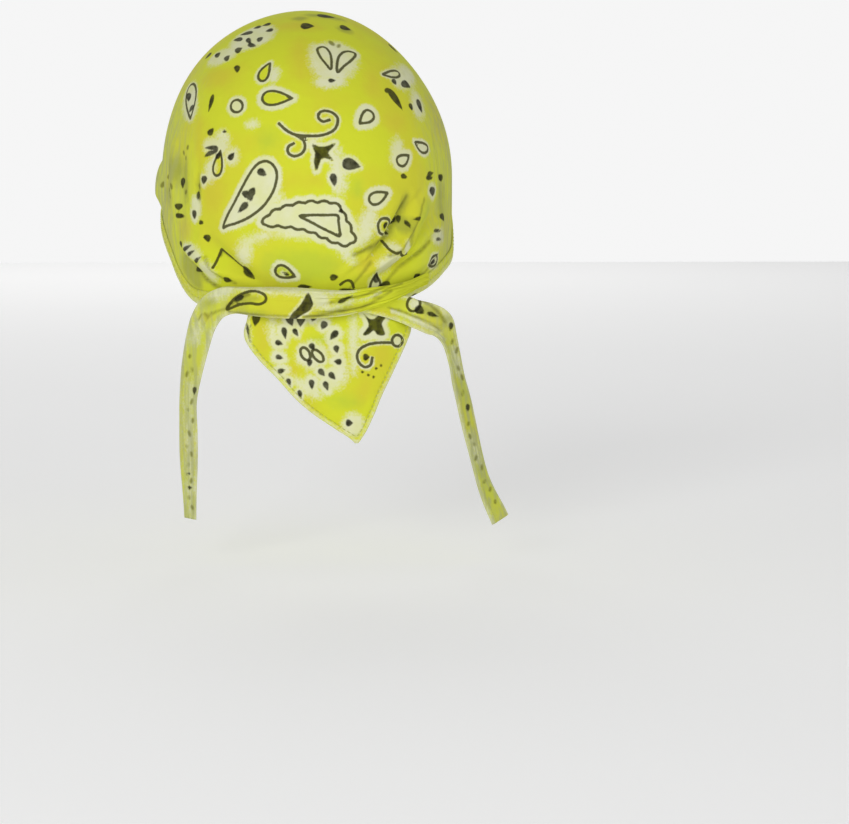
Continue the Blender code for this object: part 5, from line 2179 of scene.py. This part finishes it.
@dataclass(frozen=True)
class Studio:
    """The pale floor, the soft lights and the camera at the reference view."""

    floor_level: float = -0.310
    floor_size: float = 7.0
    floor_colours: tuple[Colour, Colour] = ((0.92, 0.92, 0.92), (0.94, 0.94, 0.935))
    floor_grain: Cloud = Cloud(3.0)
    floor_glow: float = 0.13
    floor_roughness: float = 0.8
    white: tuple[float, ...] = (1.0, 1.0, 1.0, 1.0)
    camera_at: Place = (0.0, 1.8, -0.0588)
    looks_at: Place = (-0.06812, 0.0, -0.23175)
    lamps_look_at: Place = (0.0, 0.0, -0.12)
    focal_points: float = 3092.0
    picture_width: float = 849.0
    sensor: float = 36.0
    sees_to: float = 50.0
    sky_across: Step = Step(-0.6, 0.6, 0.92, 0.44)
    sky_upwards: Step = Step(0.1, 0.9, 1.0, 0.45)

    def build(self) -> None:
        """Makes the stage."""
        self.floor()
        for name, place, size, power in LAMPS:
            data = bpy.data.lights.new(name, "AREA")
            data.size, data.energy = size, power
            add_to_scene(name, data, place, self.lamps_look_at)
        self.world()
        data = bpy.data.cameras.new("reference_view")
        data.sensor_width = self.sensor
        data.lens = self.focal_points / self.picture_width * self.sensor
        data.clip_end = self.sees_to
        bpy.context.scene.camera = add_to_scene("reference_view", data, self.camera_at, self.looks_at)
        bpy.context.scene.view_settings.view_transform = "Standard"

    def floor(self) -> None:
        """Makes the floor."""
        bpy.ops.object.select_all(action="DESELECT")
        bpy.ops.mesh.primitive_plane_add(size=self.floor_size, location=(0.0, 0.0, self.floor_level))
        floor = bpy.context.active_object
        floor.name = "floor"
        wiring = Wiring("pale_floor")
        finish = wiring.finish(
            Base_Color=wiring.mix(wiring.noise(self.floor_grain), *self.floor_colours),
            Roughness=self.floor_roughness,
            Emission_Color=self.white,
            Emission_Strength=self.floor_glow,
        )
        floor.data.materials.append(finish)

    def world(self) -> None:
        """Makes the even sky, which is brighter behind the view and darker above."""
        world = bpy.context.scene.world or bpy.data.worlds.new("studio")
        bpy.context.scene.world = world
        world.use_nodes = True
        tree = world.node_tree
        kinds = ("TexCoord", "SeparateXYZ", "Math")
        place, split, strength = (tree.nodes.new("ShaderNode" + kind) for kind in kinds)
        strength.operation = "MULTIPLY"
        tree.links.new(place.outputs["Generated"], split.inputs["Vector"])
        for target, way, step in zip(strength.inputs, "YZ", (self.sky_across, self.sky_upwards)):
            made = tree.nodes.new("ShaderNodeMapRange")
            for name, entry in zip(STEP_INPUTS, step):
                made.inputs[name].default_value = entry
            tree.links.new(split.outputs[way], made.inputs["Value"])
            tree.links.new(made.outputs["Result"], target)
        tree.links.new(strength.outputs[0], tree.nodes["Background"].inputs["Strength"])
        tree.nodes["Background"].inputs["Color"].default_value = self.white


def main() -> None:
    """Builds and dresses the wrap, and lights it."""
    logging.basicConfig(level=logging.INFO, format="%(message)s")
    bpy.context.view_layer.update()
    form = HeadForm()
    printer = Printer(form, Picture())
    thread = SewingThread().material()
    crown = Crown(form, printer)
    crown.build(PrintedCotton("crown_print").material())
    EdgeBand(form, printer, crown).build(PrintedCotton("edge_band_print").material(), thread)
    BackFlap(form, printer).build(PrintedCotton("back_flap_print").material(), thread)
    for node, *tables in (
        ("over_tie", OVER_LAY, OVER_HANG, OVER_PLEATS, OVER_CHART),
        ("under_tie", UNDER_LAY, UNDER_HANG, UNDER_PLEATS, UNDER_CHART),
    ):
        Tie(node, form, printer, *tables).build(PrintedCotton(f"{node}_print").material())
    Studio().build()


if __name__ == "__main__":
    main()
